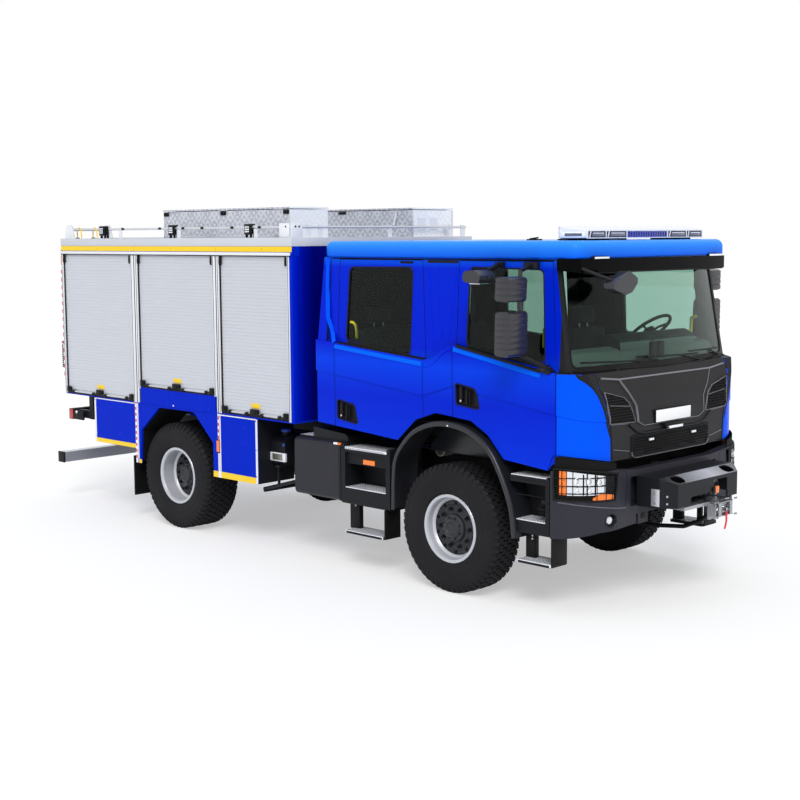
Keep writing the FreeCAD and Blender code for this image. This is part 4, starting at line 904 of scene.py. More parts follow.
def wheel(name, x, y, half, disc, side):
    """Rim, centre, hub and nuts of one wheel. disc is how far out the centre's face lies."""
    bm = bmesh.new()
    face = disc + 14
    lip = [(half - 26, 276), (half - 20, 266), (half - 2, 274), (half + 1, 282), (half + 1, 298), (half - 3, 301),
           (half - 9, 300), (half - 12, 292), (half - 16, 289)]
    rim_line = lip + [(16 - half, 289), (12 - half, 298), (-half, 298), (-half, 278), (18 - half, 268),
                      (face - 12, 262), (face + 2, 240), (face + 10, 246), (face + 22, 262)]
    spun(bm, [(side * s, r) for s, r in rim_line], x, y, TYRE_R, mat=0, steps=96)
    bmesh.ops.recalc_face_normals(bm, faces=bm.faces)
    centre_line = [(2, 243), (7, 226), (3, 205), (9, 196), (9, 140), (16, 126), (40, 120), (52, 104), (54, 90),
                   (66, 84), (74, 70), (74, 56), (66, 48), (66, 2), (40, 2), (-34, 60), (-28, 243)]
    spun(bm, [(side * (face + s), r) for s, r in centre_line], x, y, TYRE_R, mat=1, steps=64)
    for k in range(NUTS):
        turn = math.tau * k / NUTS
        nx, nz = x + NUT_RING * math.cos(turn), TYRE_R + NUT_RING * math.sin(turn)
        base = y + side * (face + 8)
        bar(bm, (nx, base, nz), (nx, base + side * 6, nz), 24, mat=1, sides=16)
        bar(bm, (nx, base + side * 4, nz), (nx, base + side * 27, nz), 18, mat=2, sides=6, end_radius=17)
        bar(bm, (nx, base + side * 26, nz), (nx, base + side * 36, nz), 10, mat=2, sides=10, end_radius=9)
        hx, hz = x + HOLE_RING * math.cos(turn + 0.31), TYRE_R + HOLE_RING * math.sin(turn + 0.31)
        bar(bm, (hx, y + side * (face + 2), hz), (hx, y + side * (face + 9), hz), 15, mat=3, sides=14)
    for k in range(HUB_BOLTS):
        turn = math.tau * (k + 0.5) / HUB_BOLTS
        bx, bz = x + HUB_RING * math.cos(turn), TYRE_R + HUB_RING * math.sin(turn)
        bar(bm, (bx, y + side * (face + 44), bz), (bx, y + side * (face + 60), bz), 8.5, mat=2, sides=6)
    bmesh.ops.recalc_face_normals(bm, faces=bm.faces)
    add_piece(name + ".rim", bm, [rim_silver, disc_dark, steel_black, gap_and_shade_black], name,
              stands_for=(name,), smooth=30)


for side, s in SIDES:
    for end, x, y, _, half, disc in AXLES:
        wheel("wheel_%s_%s" % (end, side), x, s * y, half, disc, s)

# %% [markdown]
# ## Equipment body panels
# The body is welded sheet aluminium, painted blue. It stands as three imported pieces: floor, walls and
# roof. Their folded rims are rounded. The roof deck and the band round its top edge are light grey, so
# the roof piece picks its paint by which way a face looks, and the band is laid on further down.

# %% Round the body panels
ROOF_TOP = 3066.0
BODY_ENDS = (-5967.0, -1985.0)

rounded("body_floor", [body_blue], width=4)
# The front end face takes the painted shade.
rounded("body_walls", [body_blue, body_painted_shade], width=4,
        choose=lambda face: int(face.normal.x > 0.9))
rounded("body_roof", [body_blue, roof_grey], width=5,
        choose=lambda face: int(face.normal.z > 0.9))

# %% [markdown]
# ## Roller shutters
# A roller shutter is a curtain of narrow interlocking aluminium slats. Its outline from the end is drawn
# once, slat by slat, with the shallow step between each pair, and then swept across the opening. The
# bottom rail carries a pull bar, a catch at each end and a handle in the middle with a bright tab.

# %% Sweep the slats and build their rails
BAYS = ((-5933, -4605, 1308), (-4491, -3192, 1475), (-3092, -2050, 1313))
CURTAIN_TOP = 2894.0
SLAT_PITCH = 34.0
REAR_CURTAIN = ((-759, 759), (1330, 2860))


def curtain(face, back, low, high):
    """The end outline of a shutter curtain as (depth, height) pairs; outwards is towards minus."""
    outline = [(back, low)]
    z = low
    while z < high - 2:
        pitch = min(SLAT_PITCH, high - z)
        for depth, share in ((3.0, 0.02), (0.5, 0.12), (0.0, 0.3), (0.0, 0.7), (0.5, 0.88), (3.0, 0.98)):
            outline.append((face + depth, z + share * pitch))
        z += pitch
    return outline + [(back, high)]


bm = bmesh.new()
for x0, x1, sill in BAYS:
    plate(bm, curtain(-1262, -1242, sill + 44, CURTAIN_TOP), (x0 + 4, x1 - 4), plane="yz")
with_mirror(bm)
across, height = REAR_CURTAIN
plate(bm, curtain(-5955, -5935, height[0] + 40, height[1]), across, plane="xz")
add_piece("shutters.slats", bm, [slat_metal], smooth=24, stands_for=("shutters",))
print("slats in a side curtain:", math.ceil((CURTAIN_TOP - BAYS[0][2] - 44) / SLAT_PITCH))


def catch(bm, x, z, way):
    """A corner catch: a ribbed block with a lever that points to the middle of the shutter."""
    block(bm, (x - 38, x + 38), (-1288, -1262), (z, z + 62), 0, edge=6)
    block(bm, (x - 26, x + 26), (-1296, -1286), (z + 16, z + 50), 0, edge=4)
    bar(bm, (x, -1282, z + 14), (x + way * 105, -1282, z + 14), 9, 0, 10)
    bar(bm, (x + way * 96, -1292, z + 14), (x + way * 96, -1268, z + 14), 17, 0, 14)


bm = bmesh.new()
for x0, x1, sill in BAYS:
    middle = (x0 + x1) / 2
    block(bm, (x0 + 2, x1 - 2), (-1268, -1244), (sill + 12, sill + 44), 1, edge=5)
    block(bm, (x0, x1), (-1274, -1250), (sill - 4, sill + 12), 0, edge=3)
    bar(bm, (x0 + 110, -1278, sill + 27), (x1 - 110, -1278, sill + 27), 8, 1, 10)
    catch(bm, x0 + 48, sill + 14, 1)
    catch(bm, x1 - 48, sill + 14, -1)
    block(bm, (middle - 62, middle + 62), (-1292, -1262), (sill + 26, sill + 78), 0, edge=9)
    block(bm, (middle - 34, middle + 34), (-1300, -1288), (sill + 40, sill + 66), 0, edge=5)
    bar(bm, (middle - 125, -1284, sill + 24), (middle + 125, -1284, sill + 24), 9, 0, 10)
    for end in (-118, 118):
        bar(bm, (middle + end, -1296, sill + 24), (middle + end, -1268, sill + 24), 19, 0, 16)
    block(bm, (middle - 66, middle + 66), (-1265, -1261), (sill + 86, sill + 132), 2, edge=1)
    for x in (x0 + 22, x1 - 22):
        block(bm, (x - 15, x + 15), (-1284, -1262), (CURTAIN_TOP - 96, CURTAIN_TOP - 8), 0, edge=5)
        block(bm, (x - 8, x + 8), (-1290, -1282), (CURTAIN_TOP - 74, CURTAIN_TOP - 44), 0, edge=2)
    block(bm, (x0 + 2, x0 + 17), (-1272, -1250), (sill + 12, CURTAIN_TOP), 0, edge=2)
    block(bm, (x1 - 9, x1 - 2), (-1269, -1250), (sill + 12, CURTAIN_TOP), 0, edge=2)
with_mirror(bm)
add_piece("shutters.rails", bm, [rubber, alloy, yellow])

# %% [markdown]
# ## Posts, rails and reflective bands
# Extruded guides frame every shutter, with a painted strip left between them on the posts. Above run a
# rain rail, a yellow band in three lengths and the grey roof edge. They are thin sections stuck or
# riveted on the body, so each is a narrow block that stands a few millimetres proud.

# %% Lay the guides, the rain rail and the bands
JOINTS = (-4548.0, -3142.0)
bm = bmesh.new()
for x0, x1, sill in BAYS:
    for low, high in ((x0 - 27, x0 + 1), (x1 - 1, x1 + 27)):
        block(bm, (low, high), (-1283, -1262), (sill - 4, CURTAIN_TOP), 0, edge=2.5)
        block(bm, ((low + high) / 2 - 3, (low + high) / 2 + 3), (-1284.5, -1282), (sill, CURTAIN_TOP), 1)
for (_, low, a), (high, _, b) in zip(BAYS, BAYS[1:]):
    foot = min(a, b) - 4
    block(bm, (low + 27, high - 27), (-1276, -1262), (foot, CURTAIN_TOP), 0, edge=2)
    block(bm, ((low + high) / 2 - 5, (low + high) / 2 + 5), (-1278, -1275), (foot, CURTAIN_TOP), 1)
block(bm, (BODY_ENDS[0] - 2, BODY_ENDS[1] - 20), (-1290, -1270), (2897, 2927), 0, edge=6, steps=3)
# A dark strip under the rain rail is a painted shadow.
block(bm, (BODY_ENDS[0] - 2, BODY_ENDS[1] - 20), (-1284, -1270), (2888, 2896), 1, edge=1)
ends = (BODY_ENDS[0] - 1,) + JOINTS + (BODY_ENDS[1] + 1,)
for low, high in zip(ends, ends[1:]):
    block(bm, (low + 2, high - 2), (-1277, -1273), (2932, 2984), 2, edge=0.8, steps=1)
block(bm, (BODY_ENDS[0] - 3, BODY_ENDS[1] + 3), (-1279, -1265), (2986, ROOF_TOP + 2), 3, edge=2)
for x in (-5230, -3880, -2420):
    bar(bm, (x, -1278.5, 2958), (x, -1276, 2958), 3.5, 1, 8)
with_mirror(bm)
for x0, x1 in ((BODY_ENDS[1] - 6, BODY_ENDS[1] + 4), (BODY_ENDS[0] - 4, BODY_ENDS[0] + 6)):
    block(bm, (x0, x1), (-1276, 1276), (2986, ROOF_TOP + 2), 3, edge=2)
add_piece("body_walls.bands", bm, [profile_white, gap_and_shade_black, yellow, roof_grey])
print("guides:", 2 * 2 * len(BAYS), "band lengths:", 2 * (len(ends) - 1))

# %% [markdown]
# ## Lower panels
# The lockers under the bays have flush doors with a thin bright frame and a yellow strip along the
# bottom. The posts between them carry red and white tape, one amber marker lamp and end in the arch
# panel over the rear wheel.

# %% Frame the lower panels
LOCKER_FRONT = at(-2600, 0, 0).x
rounded("lower_lockers", [body_blue, steel_black], width=3,
        choose=lambda face: int(face.normal.x > 0.9 and face.calc_center_median().x > LOCKER_FRONT))
rounded("rear_arch_liners", [gap_and_shade_black], width=2)
FACE = -1268.0
bm = bmesh.new()


def strip(x, z, mat, proud=3.0):
    """A thin flat strip on the face of the lower panels."""
    block(bm, x, (FACE - proud, FACE + 2), z, mat, edge=0.6, steps=1)


strip((-5393, -5364), (795, 1290), 0)
strip((-5364, -4608), (1282, 1293), 0)
strip((-5364, -4610), (797, 843), 1)
strip((-4606, -4572), (641, 1468), 0, proud=5)
strip((-4557, -4511), (641, 682), 1, proud=1.5)
strip((-4560, -3200), (1457, 1470), 0)
strip((-4566, -4553), (684, 1456), 0)
strip((-3166, -3122), (643, 1300), 0, proud=5)
strip((-3122, -2560), (1281, 1293), 0)
strip((-2572, -2544), (647, 1290), 0)
strip((-3120, -2574), (643, 706), 1)
strip((-3250, -3168), (643, 704), 1)
strip((-3143, -3138), (710, 1300), 4, proud=5.6)
for x, foot in (((-4602, -4580), 690), ((-3164, -3146), 1040)):
    for low in range(foot, 1290, 66):
        strip(x, (low, low + 33), 2, proud=6)
        strip(x, (low + 33, low + 66), 3, proud=6)
block(bm, (-3182, -3140), (-1283, -1268), (905, 1023), 5, edge=6, steps=3)
block(bm, (-3188, -3134), (-1276, -1268), (893, 1035), 4, edge=4)
bar(bm, (-3905, -1278, 1318), (-3905, -1268, 1318), 9, 3, 16)
for x, z in ((-2562, 1270), (-2562, 985), (-2562, 720), (-3136, 1270), (-5378, 1270), (-5378, 860)):
    bar(bm, (x, -1274, z), (x, -1270, z), 5, 4, 10)
with_mirror(bm)
add_piece("lower_lockers.frames", bm, [profile_white, yellow, warning_red, warning_white, gap_and_shade_black, lamp_amber])

# %% [markdown]
# ## Rear end
# The back has a roller shutter between two framed columns. The columns carry warning stripes at forty
# five degrees, an orange reflector, a grab handle and the tall lamp clusters below. A thin plate is
# cut into slanted fields for the stripes, and each field keeps its own colour.

# %% Add the warning stripes and the rear fittings
STRIPE = 95.0


def slanted_field(y0, y1, z0, z1, run):
    """The part of a slanted stripe that lies inside a column. run is the height of the stripe's foot."""
    points = [(y0, run), (y1, run + (y1 - y0)), (y1, run + (y1 - y0) + STRIPE), (y0, run + STRIPE)]
    return [(y, min(max(z, z0), z1)) for y, z in points]


def area(points):
    """The area of a flat outline."""
    return abs(sum(a[0] * b[1] - b[0] * a[1] for a, b in zip(points, points[1:] + points[:1]))) / 2


bm = bmesh.new()
for y0, y1 in ((-1238, -1130), (-895, -787)):
    run, shade = 1400 - 2 * STRIPE, 0
    while run < 2790:
        field = slanted_field(y0, y1, 1400, 2790, run)
        if area(field) > 60:
            plate(bm, field, (-5970, -5967), plane="yz", mat=shade)
        run += STRIPE
        shade = 1 - shade
for z in range(1500, 2760, 90):
    block(bm, (-5990, -5966), (-1275, -1240), (z, z + 45), 0, edge=3)
    block(bm, (-5990, -5966), (-1275, -1240), (z + 45, z + 90), 1, edge=3)
block(bm, (-5994, -5967), (-1272, -1236), (2770, 2875), 2, edge=5)
block(bm, (-6004, -5967), (-1262, -1222), (2885, 2945), 3, edge=8)
for z in (1600, 1880):
    block(bm, (-6090, -5967), (-1232, -1198), (z - 12, z + 12), 3, edge=5)
for z in range(1622, 1860, 22):
    spun(bm, [(-7, 17), (7, 17), (7, 22), (-7, 22)], -6075, -1215, z, 3, 16, axis="z")
for y in (-782, -764):
    block(bm, (-5972, -5960), (y - 6, y + 12), (1320, 2866), 4, edge=2)
block(bm, (-5974, -5952), (-759, 0), (1322, 1368), 4, edge=4)
block(bm, (-5972, -5962), (-782, 0), (2862, 2884), 4, edge=2)
with_mirror(bm)
block(bm, (-5986, -5966), (-90, 90), (1330, 1392), 3, edge=8)
add_piece("body_walls.rear", bm, [warning_red, warning_white, lamp_amber, rubber, alloy])

rounded("tail_lamps", [plastic_black, lamp_red], width=6,
        choose=lambda face: int(face.normal.x < -0.9))
bm = bmesh.new()
for low, high, mat in ((906, 985, 0), (990, 1070, 1), (1075, 1150, 2), (1155, 1238, 0)):
    block(bm, (-5969, -5962), (-high, -low), (1004, 1114), mat, edge=3)
block(bm, (-5966, -5885), (-1243, -1238), (1004, 1114), 0, edge=2)
bar(bm, (-5815, -1243, 1089), (-5815, -1234, 1089), 15, 3, 16)
block(bm, (-5960, -5690), (-1236, -1210), (1000, 1105), 4, edge=8)
with_mirror(bm)
add_piece("tail_lamps.lenses", bm, [lamp_red, lamp_amber, led_white, warning_white, plastic_black])

rounded("underrun_beam", [alloy, plastic_black], width=5, choose=lambda face: int(abs(face.normal.y) > 0.9))
bm = bmesh.new()
block(bm, (-6325, -6194), (-1186, -1168), (450, 577), 0, edge=5)
block(bm, (-6323, -6320), (-1160, -560), (470, 555), 1)
block(bm, (-6321, -6315), (-560, -300), (470, 555), 2)
with_mirror(bm)
add_piece("underrun_beam.caps", bm, [plastic_black, warning_white, warning_red])

# %% [markdown]
# ## Roof equipment
# The walkway has two tread-plate lockers with overhanging lids, hand rails on flat posts and a roller
# at the back for pulling a ladder up. Tread plate is folded and riveted, so the boxes keep crisp edges
# and the lids get a folded rim, catches and hinge straps.

# %% Dress the roof lockers and rails


def gallery_face(face):
    """Flat plates of the gallery are painted white and its round tubes are bare."""
    return int(max(abs(c) for c in face.normal) <= 0.999 or face.calc_area() <= 0.0004)


def box_face(face):
    """Tread plate wants its pattern laid on each face's own plane; the ends get a lighter copy and the sides a darker
    one, as painted light and shade.
    """
    return 1 if abs(face.normal.x) > 0.7 else 2 if abs(face.normal.z) > 0.7 else 0


def locker(node, body="truck"):
    """One part of a roof locker, in tread plate."""
    rounded(node, [plate_side_painted_shade, plate_end_painted_light, plate_top], width=2, body=body, choose=box_face)


rounded("roof_gallery", [profile_white, alloy], width=1.5, choose=gallery_face)
locker("roof_box_right")
locker("roof_box_left")
rounded("work_lights", [plastic_black], width=8)
for side, _ in SIDES:
    locker("roof_lid_" + side, "roof_lid_" + side)

bm = bmesh.new()
for x in (-4312, -3343, -2366):
    block(bm, (x - 42, x + 42), (-1012, -999), (3296, 3338), 0, edge=4)
    block(bm, (x - 26, x - 6), (-1019, -1010), (3302, 3332), 0, edge=3)
    block(bm, (x + 6, x + 26), (-1019, -1010), (3302, 3332), 0, edge=3)
for x0, x1 in ((-4366, -4348), (-2339, -2320)):
    block(bm, (x0, x1), (-1003, -996), (3068, 3340), 1, edge=1)
block(bm, (-4366, -2320), (-1003, -996), (3068, 3090), 1, edge=1)
for x in (-3900, -2850):
    block(bm, (x - 8, x + 8), (-1003.5, -998), (3090, 3336), 1, edge=1)
    for z in range(3110, 3330, 44):
        bar(bm, (x, -1006, z), (x, -1002, z), 4, 2, 8)
add_piece("roof_box_right.fittings", bm, [rubber, alloy, steel_bright])

bm = bmesh.new()
block(bm, (-3193, -3080), (456, 471), (3308, 3338), 0, edge=5)
for y0, y1 in ((512, 672), (694, 854)):
    ring(bm, [(y0, 3120), (y1, 3120), (y1, 3275), (y0, 3275)], 14, (-2081, -2072), plane="yz", mat=0)
    plate(bm, [(y0 + 14, 3134), (y1 - 14, 3134), (y1 - 14, 3261), (y0 + 14, 3261)], (-2081, -2076),
          plane="yz", mat=2)
block(bm, (-2398, -2392), (465, 471), (3070, 3338), 1, edge=1)
bar(bm, (-2342, 455, 3190), (-2304, 455, 3306), 11, 2, 12)
bar(bm, (-2342, 455, 3190), (-2354, 455, 3150), 6, 1, 12)
for y in (472, 1073):
    block(bm, (-2084, -2074), (y - 10, y + 4), (3070, 3340), 1, edge=1)
add_piece("roof_box_left.fittings", bm, [rubber, alloy, profile_white])

bm = bmesh.new()
for x in (-5150, -3880, -2640):
    block(bm, (x - 50, x + 50), (-1272, -1258), (3098, 3202), 1, edge=8)
    block(bm, (x - 42, x + 42), (-1276, -1270), (3106, 3194), 0, edge=5)
    for dx in (-22, 0, 22):
        for dz in (-22, 0, 22):
            bar(bm, (x + dx, -1278, 3150 + dz), (x + dx, -1272, 3150 + dz), 8, 2, 10)
    for dz in (-36, -18, 0, 18, 36):
        block(bm, (x - 46, x + 46), (-1206, -1190), (3148 + dz, 3153 + dz), 1, edge=1)
    block(bm, (x - 62, x - 54), (-1245, -1215), (3070, 3175), 1, edge=2)
    block(bm, (x + 54, x + 62), (-1245, -1215), (3070, 3175), 1, edge=2)
with_mirror(bm)
for y in (-1073, -864):
    pipe(bm, [(-5935, y, 3071), (-5938, y, 3150), (-5915, y, 3186), (-5880, y, 3186), (-5858, y, 3140),
              (-5850, y, 3071)], 7, 3, 10)
    block(bm, (-5955, -5915), (y - 16, y + 16), (3066, 3078), 1, edge=3)
for x in (-4770, -4100, -3700, -3380, -2900, -2480):
    block(bm, (x - 14, x + 14), (-1262, -1244), (3156, 3180), 1, edge=3)
for x0 in (-5500, -5100, -4700):
    block(bm, (x0, x0 + 360), (-1120, 330), (3068, 3074), 4, edge=1)
block(bm, (-2190, -2044), (-1252, -1245), (3068, 3204), 5, edge=3)
block(bm, (-2024, -2017), (-1248, -1100), (3068, 3204), 5, edge=3)
for y in (-1195, -1150):
    bar(bm, (-2017, y, 3172), (-2012, y, 3172), 9, 1, 14)
bar(bm, (-2090, -1256, 3172), (-2090, -1250, 3172), 9, 1, 14)
add_piece("work_lights.details", bm, [lens_glass, plastic_black, led_white, yellow, plate_top, profile_white])

# %% [markdown]
# ## Cab shell and doors
# The cab is pressed steel. Its packed panels are given rolled rims, and every face is painted by what
# it is: blue outside, dark trim towards the seats, and black round the windscreen, where the lacquer
# gives way to plastic. A face belongs to the inside when it looks at the middle of the cab.

# %% Paint the cab panels
CAB_MIDDLE = at(-300, 0, 1900)
PILLAR_X, COWL_Z, HEADER_Z = 1113.0, 1955.0, 2893.0
FLAP_HALF = 860.0
POCKETS = ((-1450, -1170, 1360, 1575), (30, 310, 1615, 1830))
SKIN_Y, LINING_Y = 1.2145, 1.19


def cab_face(face):
    """Blue outside, trim inside, black round the windscreen and behind the front flap."""
    place = face.calc_center_median()
    x, z = (place.x - AXLE_X) * 1000, place.z * 1000
    if face.normal.dot(CAB_MIDDLE - place) > 0.25:
        return 1
    if x > PILLAR_X and COWL_Z < z < HEADER_Z:
        return 2
    if x > PILLAR_X and z < COWL_Z and abs(place.y) * 1000 < FLAP_HALF:
        return 2
    if z < 1700 and (face.normal.z < -0.5 or (x > -800 and abs(place.y) < LINING_Y)):
        return 1
    if abs(place.y) > 1.05 and abs(face.normal.y) < 0.3 and -1490 < x < 1115 and 1090 < z < 2880:
        return 1
    return 0


def door_face(face):
    """Blue outside, trim inside, black in the handle pocket."""
    place = face.calc_center_median()
    x, z = (place.x - AXLE_X) * 1000, place.z * 1000
    outwards = face.normal.y * (1 if place.y > 0 else -1)
    for x0, x1, z0, z1 in POCKETS:
        if x0 < x < x1 and z0 < z < z1 and abs(place.y) < SKIN_Y and (outwards < 0.9 or abs(place.y) < LINING_Y):
            return 2
    return 1 if outwards < 0.3 else 0


pillar_cuts = [((PILLAR_X, 0, 0), (1, 0, 0)), ((0, 0, COWL_Z), (0, 0, 1)), ((0, 0, HEADER_Z), (0, 0, 1))]
pillar_cuts += [((0, s * FLAP_HALF, 0), (0, 1, 0)) for s in (-1, 1)]
rounded("cab_shell", [cab_blue_painted_light, trim_dark, front_black], width=3, choose=cab_face, cuts=pillar_cuts)
rounded("cab_roof", [cab_blue_painted_light], width=22)
# The front corner panels take the lighter lacquer as painted light.
rounded("corner_panels", [cheek_painted_light, front_black], width=5, choose=lambda f: int(f.normal.z > 0.5))
for side, s in SIDES:
    for end in ("front", "rear"):
        door = "door_%s_%s" % (end, side)
        rounded(door, [cab_blue_painted_light, trim_dark, plastic_black], width=3, body=door, choose=door_face)

# %% [markdown]
# ## Door seals, window frames and handles
# A rubber frame holds each pane, a thicker weather strip runs along the belt under it, and a pressed
# shoulder below the strip is painted lighter as a highlight. The shoulder climbs over the middle post in a
# slow S. The handle is a recessed grip with two upright bars and a lock.

# %% Fit the side details


def soft_corners(points, radius, steps=5):
    """The outline with its corners rounded."""
    result = []
    count = len(points)
    for i in range(count):
        before, corner, after = (Vector(points[(i + k) % count]) for k in (-1, 0, 1))
        a = corner + (before - corner).normalized() * radius
        b = corner + (after - corner).normalized() * radius
        for k in range(steps + 1):
            t = k / steps
            result.append(tuple((a * (1 - t) + corner * t) * (1 - t) + (corner * (1 - t) + b * t) * t))
    return result


def grown(points, by):
    """An outline moved outwards from its middle by a few millimetres."""
    middle = sum((Vector(p) for p in points), Vector((0, 0))) / len(points)
    return [tuple(Vector(p) + Vector((math.copysign(by, p[0] - middle.x), math.copysign(by, p[1] - middle.y))))
            for p in points]


def closed(points):
    """A route that comes back to its start."""
    return points + points[:1]


def door_details(end, window, pocket, belt, sill, shoulder, grips):
    """Seals, shoulder and handle of one right-hand door, in a new mesh."""
    door = "door_%s_right" % end
    bm = bmesh.new()
    ribbon(bm, door, "side", closed(soft_corners(grown(window, 7), 48)), 15, 2.5, 0, step=60)
    ribbon(bm, door, "side", belt, 26, 11, 0, sink=4)
    ribbon(bm, door, "side", sill, 34, 3, 0)
    # The shoulder strip takes the painted highlight.
    ribbon(bm, door, "side", shoulder, 44, 8, 1, sink=1, crown=0.1, lean=-0.6)
    ribbon(bm, door, "side", closed(soft_corners(grown(pocket, 7), 34)), 13, 4, 0, step=60)
    for x, z0, z1, wide in grips:
        block(bm, (x - wide, x + wide), (-1213, -1186), (z0, z1), 2, edge=7)
    x, z0 = grips[0][0], grips[0][1]
    bar(bm, (x + 2, -1217, z0 + 16), (x + 2, -1208, z0 + 16), 9, 3, 16)
    return bm


DOORS = (
    ("front", [(118, 2150), (960, 2040), (908, 2795), (128, 2806)], [(45, 1650), (300, 1625), (255, 1790), (40, 1822)],
     [(12, 2152), (962, 1984)], [(120, 2142), (962, 2016)], [(14, 2118), (300, 2068), (962, 1950)],
     [(96, 1664, 1800, 15), (160, 1655, 1782, 9), (196, 1652, 1772, 4)]),
    ("rear", [(-1365, 2128), (-552, 2030), (-552, 2798), (-1345, 2790)],
     [(-1442, 1400), (-1180, 1368), (-1225, 1535), (-1445, 1568)],
     [(-1472, 2098), (-362, 2006)], [(-1350, 2108), (-552, 2026)], [(-1472, 2066), (-900, 2014), (-362, 1968)],
     [(-1392, 1412, 1548, 15), (-1326, 1400, 1530, 9), (-1290, 1396, 1518, 4)]),
)
for end, window, pocket, belt, sill, shoulder, grips in DOORS:
    for side, s in SIDES:
        bm = door_details(end, window, pocket, belt, sill, shoulder, grips)
        if s > 0:
            turned_over(bm)
        door = "door_%s_%s" % (end, side)
        add_piece(door + ".seals", bm, [rubber, shoulder_painted_highlight, plastic_black, alloy], body=door)

for side, s in SIDES:
    bm = bmesh.new()
    ribbon(bm, "door_rear_right", "side", [(-700, 2846), (-545, 2846)], 24, 4)
    if s > 0:
        turned_over(bm)
    add_piece("door_rear_%s.vent" % side, bm, [gap_and_shade_black], body="door_rear_" + side)

# %% [markdown]
# ## Pillars of the crew cab
# Between the doors the side is one fixed panel with upright beads, and the shoulder sweeps up across
# it. Behind the rear door a broad rounded bead, painted lighter as a highlight, comes down the corner and
# bends into the belt. A dark strip at the top of the middle panel is painted shade under the roof's overhang.

# %% Add the beads and the trim
bm = bmesh.new()
sweep = [(-346, 1964), (-290, 1962), (-225, 1990), (-150, 2058), (-85, 2104), (-30, 2118), (-4, 2118)]
ribbon(bm, "cab_shell", "side", sweep, 44, 8, 0, sink=1, step=20, crown=0.1, lean=-0.6)
ribbon(bm, "cab_shell", "side", [(-352, 2800), (-310, 2420), (-262, 2075)], 26, 7, 0, step=60, crown=0.3)
ribbon(bm, "cab_shell", "side", [(-240, 2820), (-225, 2420), (-200, 2330)], 12, 3, 0, step=60, crown=0.3)
ribbon(bm, "cab_shell", "side", [(-30, 2820), (-52, 2480), (-92, 2170)], 26, 7, 0, step=60, crown=0.3)
ribbon(bm, "cab_shell", "side", closed(soft_corners([(-196, 2188), (-160, 2188), (-170, 2272), (-186, 2272)], 10)),
       7, 3, 0, step=12, crown=0.4)
# The corner bead takes the lighter lacquer as a painted highlight.
corner = [(-1644, 2872), (-1628, 2560), (-1606, 2330), (-1560, 2190), (-1484, 2098)]
ribbon(bm, "cab_shell", "side", corner, 54, 12, 3, sink=6, step=130, crown=0.3)
# This dark strip at the top of the middle panel is painted shade under the roof's overhang.
ribbon(bm, "cab_shell", "side", [(-428, 2856), (-14, 2856)], 27, 5, 1, step=60)
ribbon(bm, "cab_shell", "side", [(-1700, 2876), (1150, 2876)], 12, 3, 2, step=120)
with_mirror(bm)
add_piece("cab_shell.beads", bm, [cab_blue_painted_light, trim_dark, gap_and_shade_black, cheek_painted_light])

# %% [markdown]
# ## Mirrors
# Each main mirror is two ribbed housings on one tube, with silvered glass behind. The ribs are shallow
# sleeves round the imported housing, set apart so that the grooves between them read as dark lines. A
# kerb mirror hangs over the side window and another over the windscreen.

# %% Rib the mirror housings
MIRROR_Y = 1.32
for side, s in SIDES:
    rounded("mirrors_" + side, [mirror_grey, plastic_black], width=16, body="door_front_" + side,
            choose=lambda face: int(abs(face.calc_center_median().y) < MIRROR_Y))
    bm = bmesh.new()
    for low, high in ((2560, 2604), (2610, 2654), (2660, 2704), (2710, 2738)):
        block(bm, (772, 912), (-1546, -1330), (low, high), 0, edge=9)
    for low in range(2134, 2460, 48):
        block(bm, (768, 914), (-1546, -1326), (low, low + 42), 0, edge=9)
    for low, high in ((2570, 2735), (2135, 2460)):
        block(bm, (750, 760), (-1522, -1336), (low, high), 1, edge=4)
    bar(bm, (850, -1335, 2478), (850, -1335, 2548), 26, 0, 20)
    spun(bm, [(-12, 6), (-12, 46), (8, 40), (14, 6)], 1000, -1192, 2012, 0, 32, axis="z")
    if s > 0:
        turned_over(bm)
    add_piece("mirrors_%s.ribs" % side, bm, [mirror_grey, mirror_glass], body="door_front_" + side)
bm = bmesh.new()
block(bm, (388, 504), (-1430, -1316), (2683, 2694), edge=4)
add_piece("mirrors_right.kerb_glass", bm, [mirror_glass], body="door_front_right")
rounded("front_mirror", [mirror_grey, plastic_black], width=12,
        choose=lambda face: int(face.calc_center_median().z > 2.72))

# %% [markdown]
# ## Cab roof equipment
# The light bar is a white frame with pale lenses at the ends and a blue block in the middle. Small
# white lamps sit under the roof corners, and low black brackets carry aerials. The visor is one smoked
# sheet with its lower edge rolled.

# %% Dress the roof, the visor and the light bar
BAR_FRONT = 1140.0
rounded("sun_visor", [visor_glass], width=8)
rounded("light_bar", [profile_white], width=5)
bm = bmesh.new()
for rail in ((3107, 3120), (3048, 3056)):
    block(bm, (BAR_FRONT - 8, BAR_FRONT + 5), (-848, 848), rail, 0, edge=2)
for y in (-840, -590, -300, 300, 590, 840):
    block(bm, (BAR_FRONT - 8, BAR_FRONT + 5), (y - 6, y + 6), (3054, 3112), 0, edge=2)
for y0, y1 in ((-832, -598), (-582, -308), (308, 582), (598, 832)):
    block(bm, (BAR_FRONT - 2, BAR_FRONT + 1), (y0 - 8, y1 + 8), (3056, 3107), 5, edge=1)
    plate(bm, [(y0 + 12, 3057), (y0 + 24, 3057), (y0 + 40, 3106), (y0 + 28, 3106)],
          (BAR_FRONT, BAR_FRONT + 4), plane="yz")
    block(bm, (BAR_FRONT, BAR_FRONT + 2), (y0 + 54, y1 - 14), (3064, 3098), 4, edge=1)
    block(bm, (BAR_FRONT, BAR_FRONT + 3), (y0 + 66, y1 - 26), (3089, 3094), 3)
block(bm, (BAR_FRONT - 2, BAR_FRONT + 1), (-292, 292), (3056, 3107), 1, edge=1)
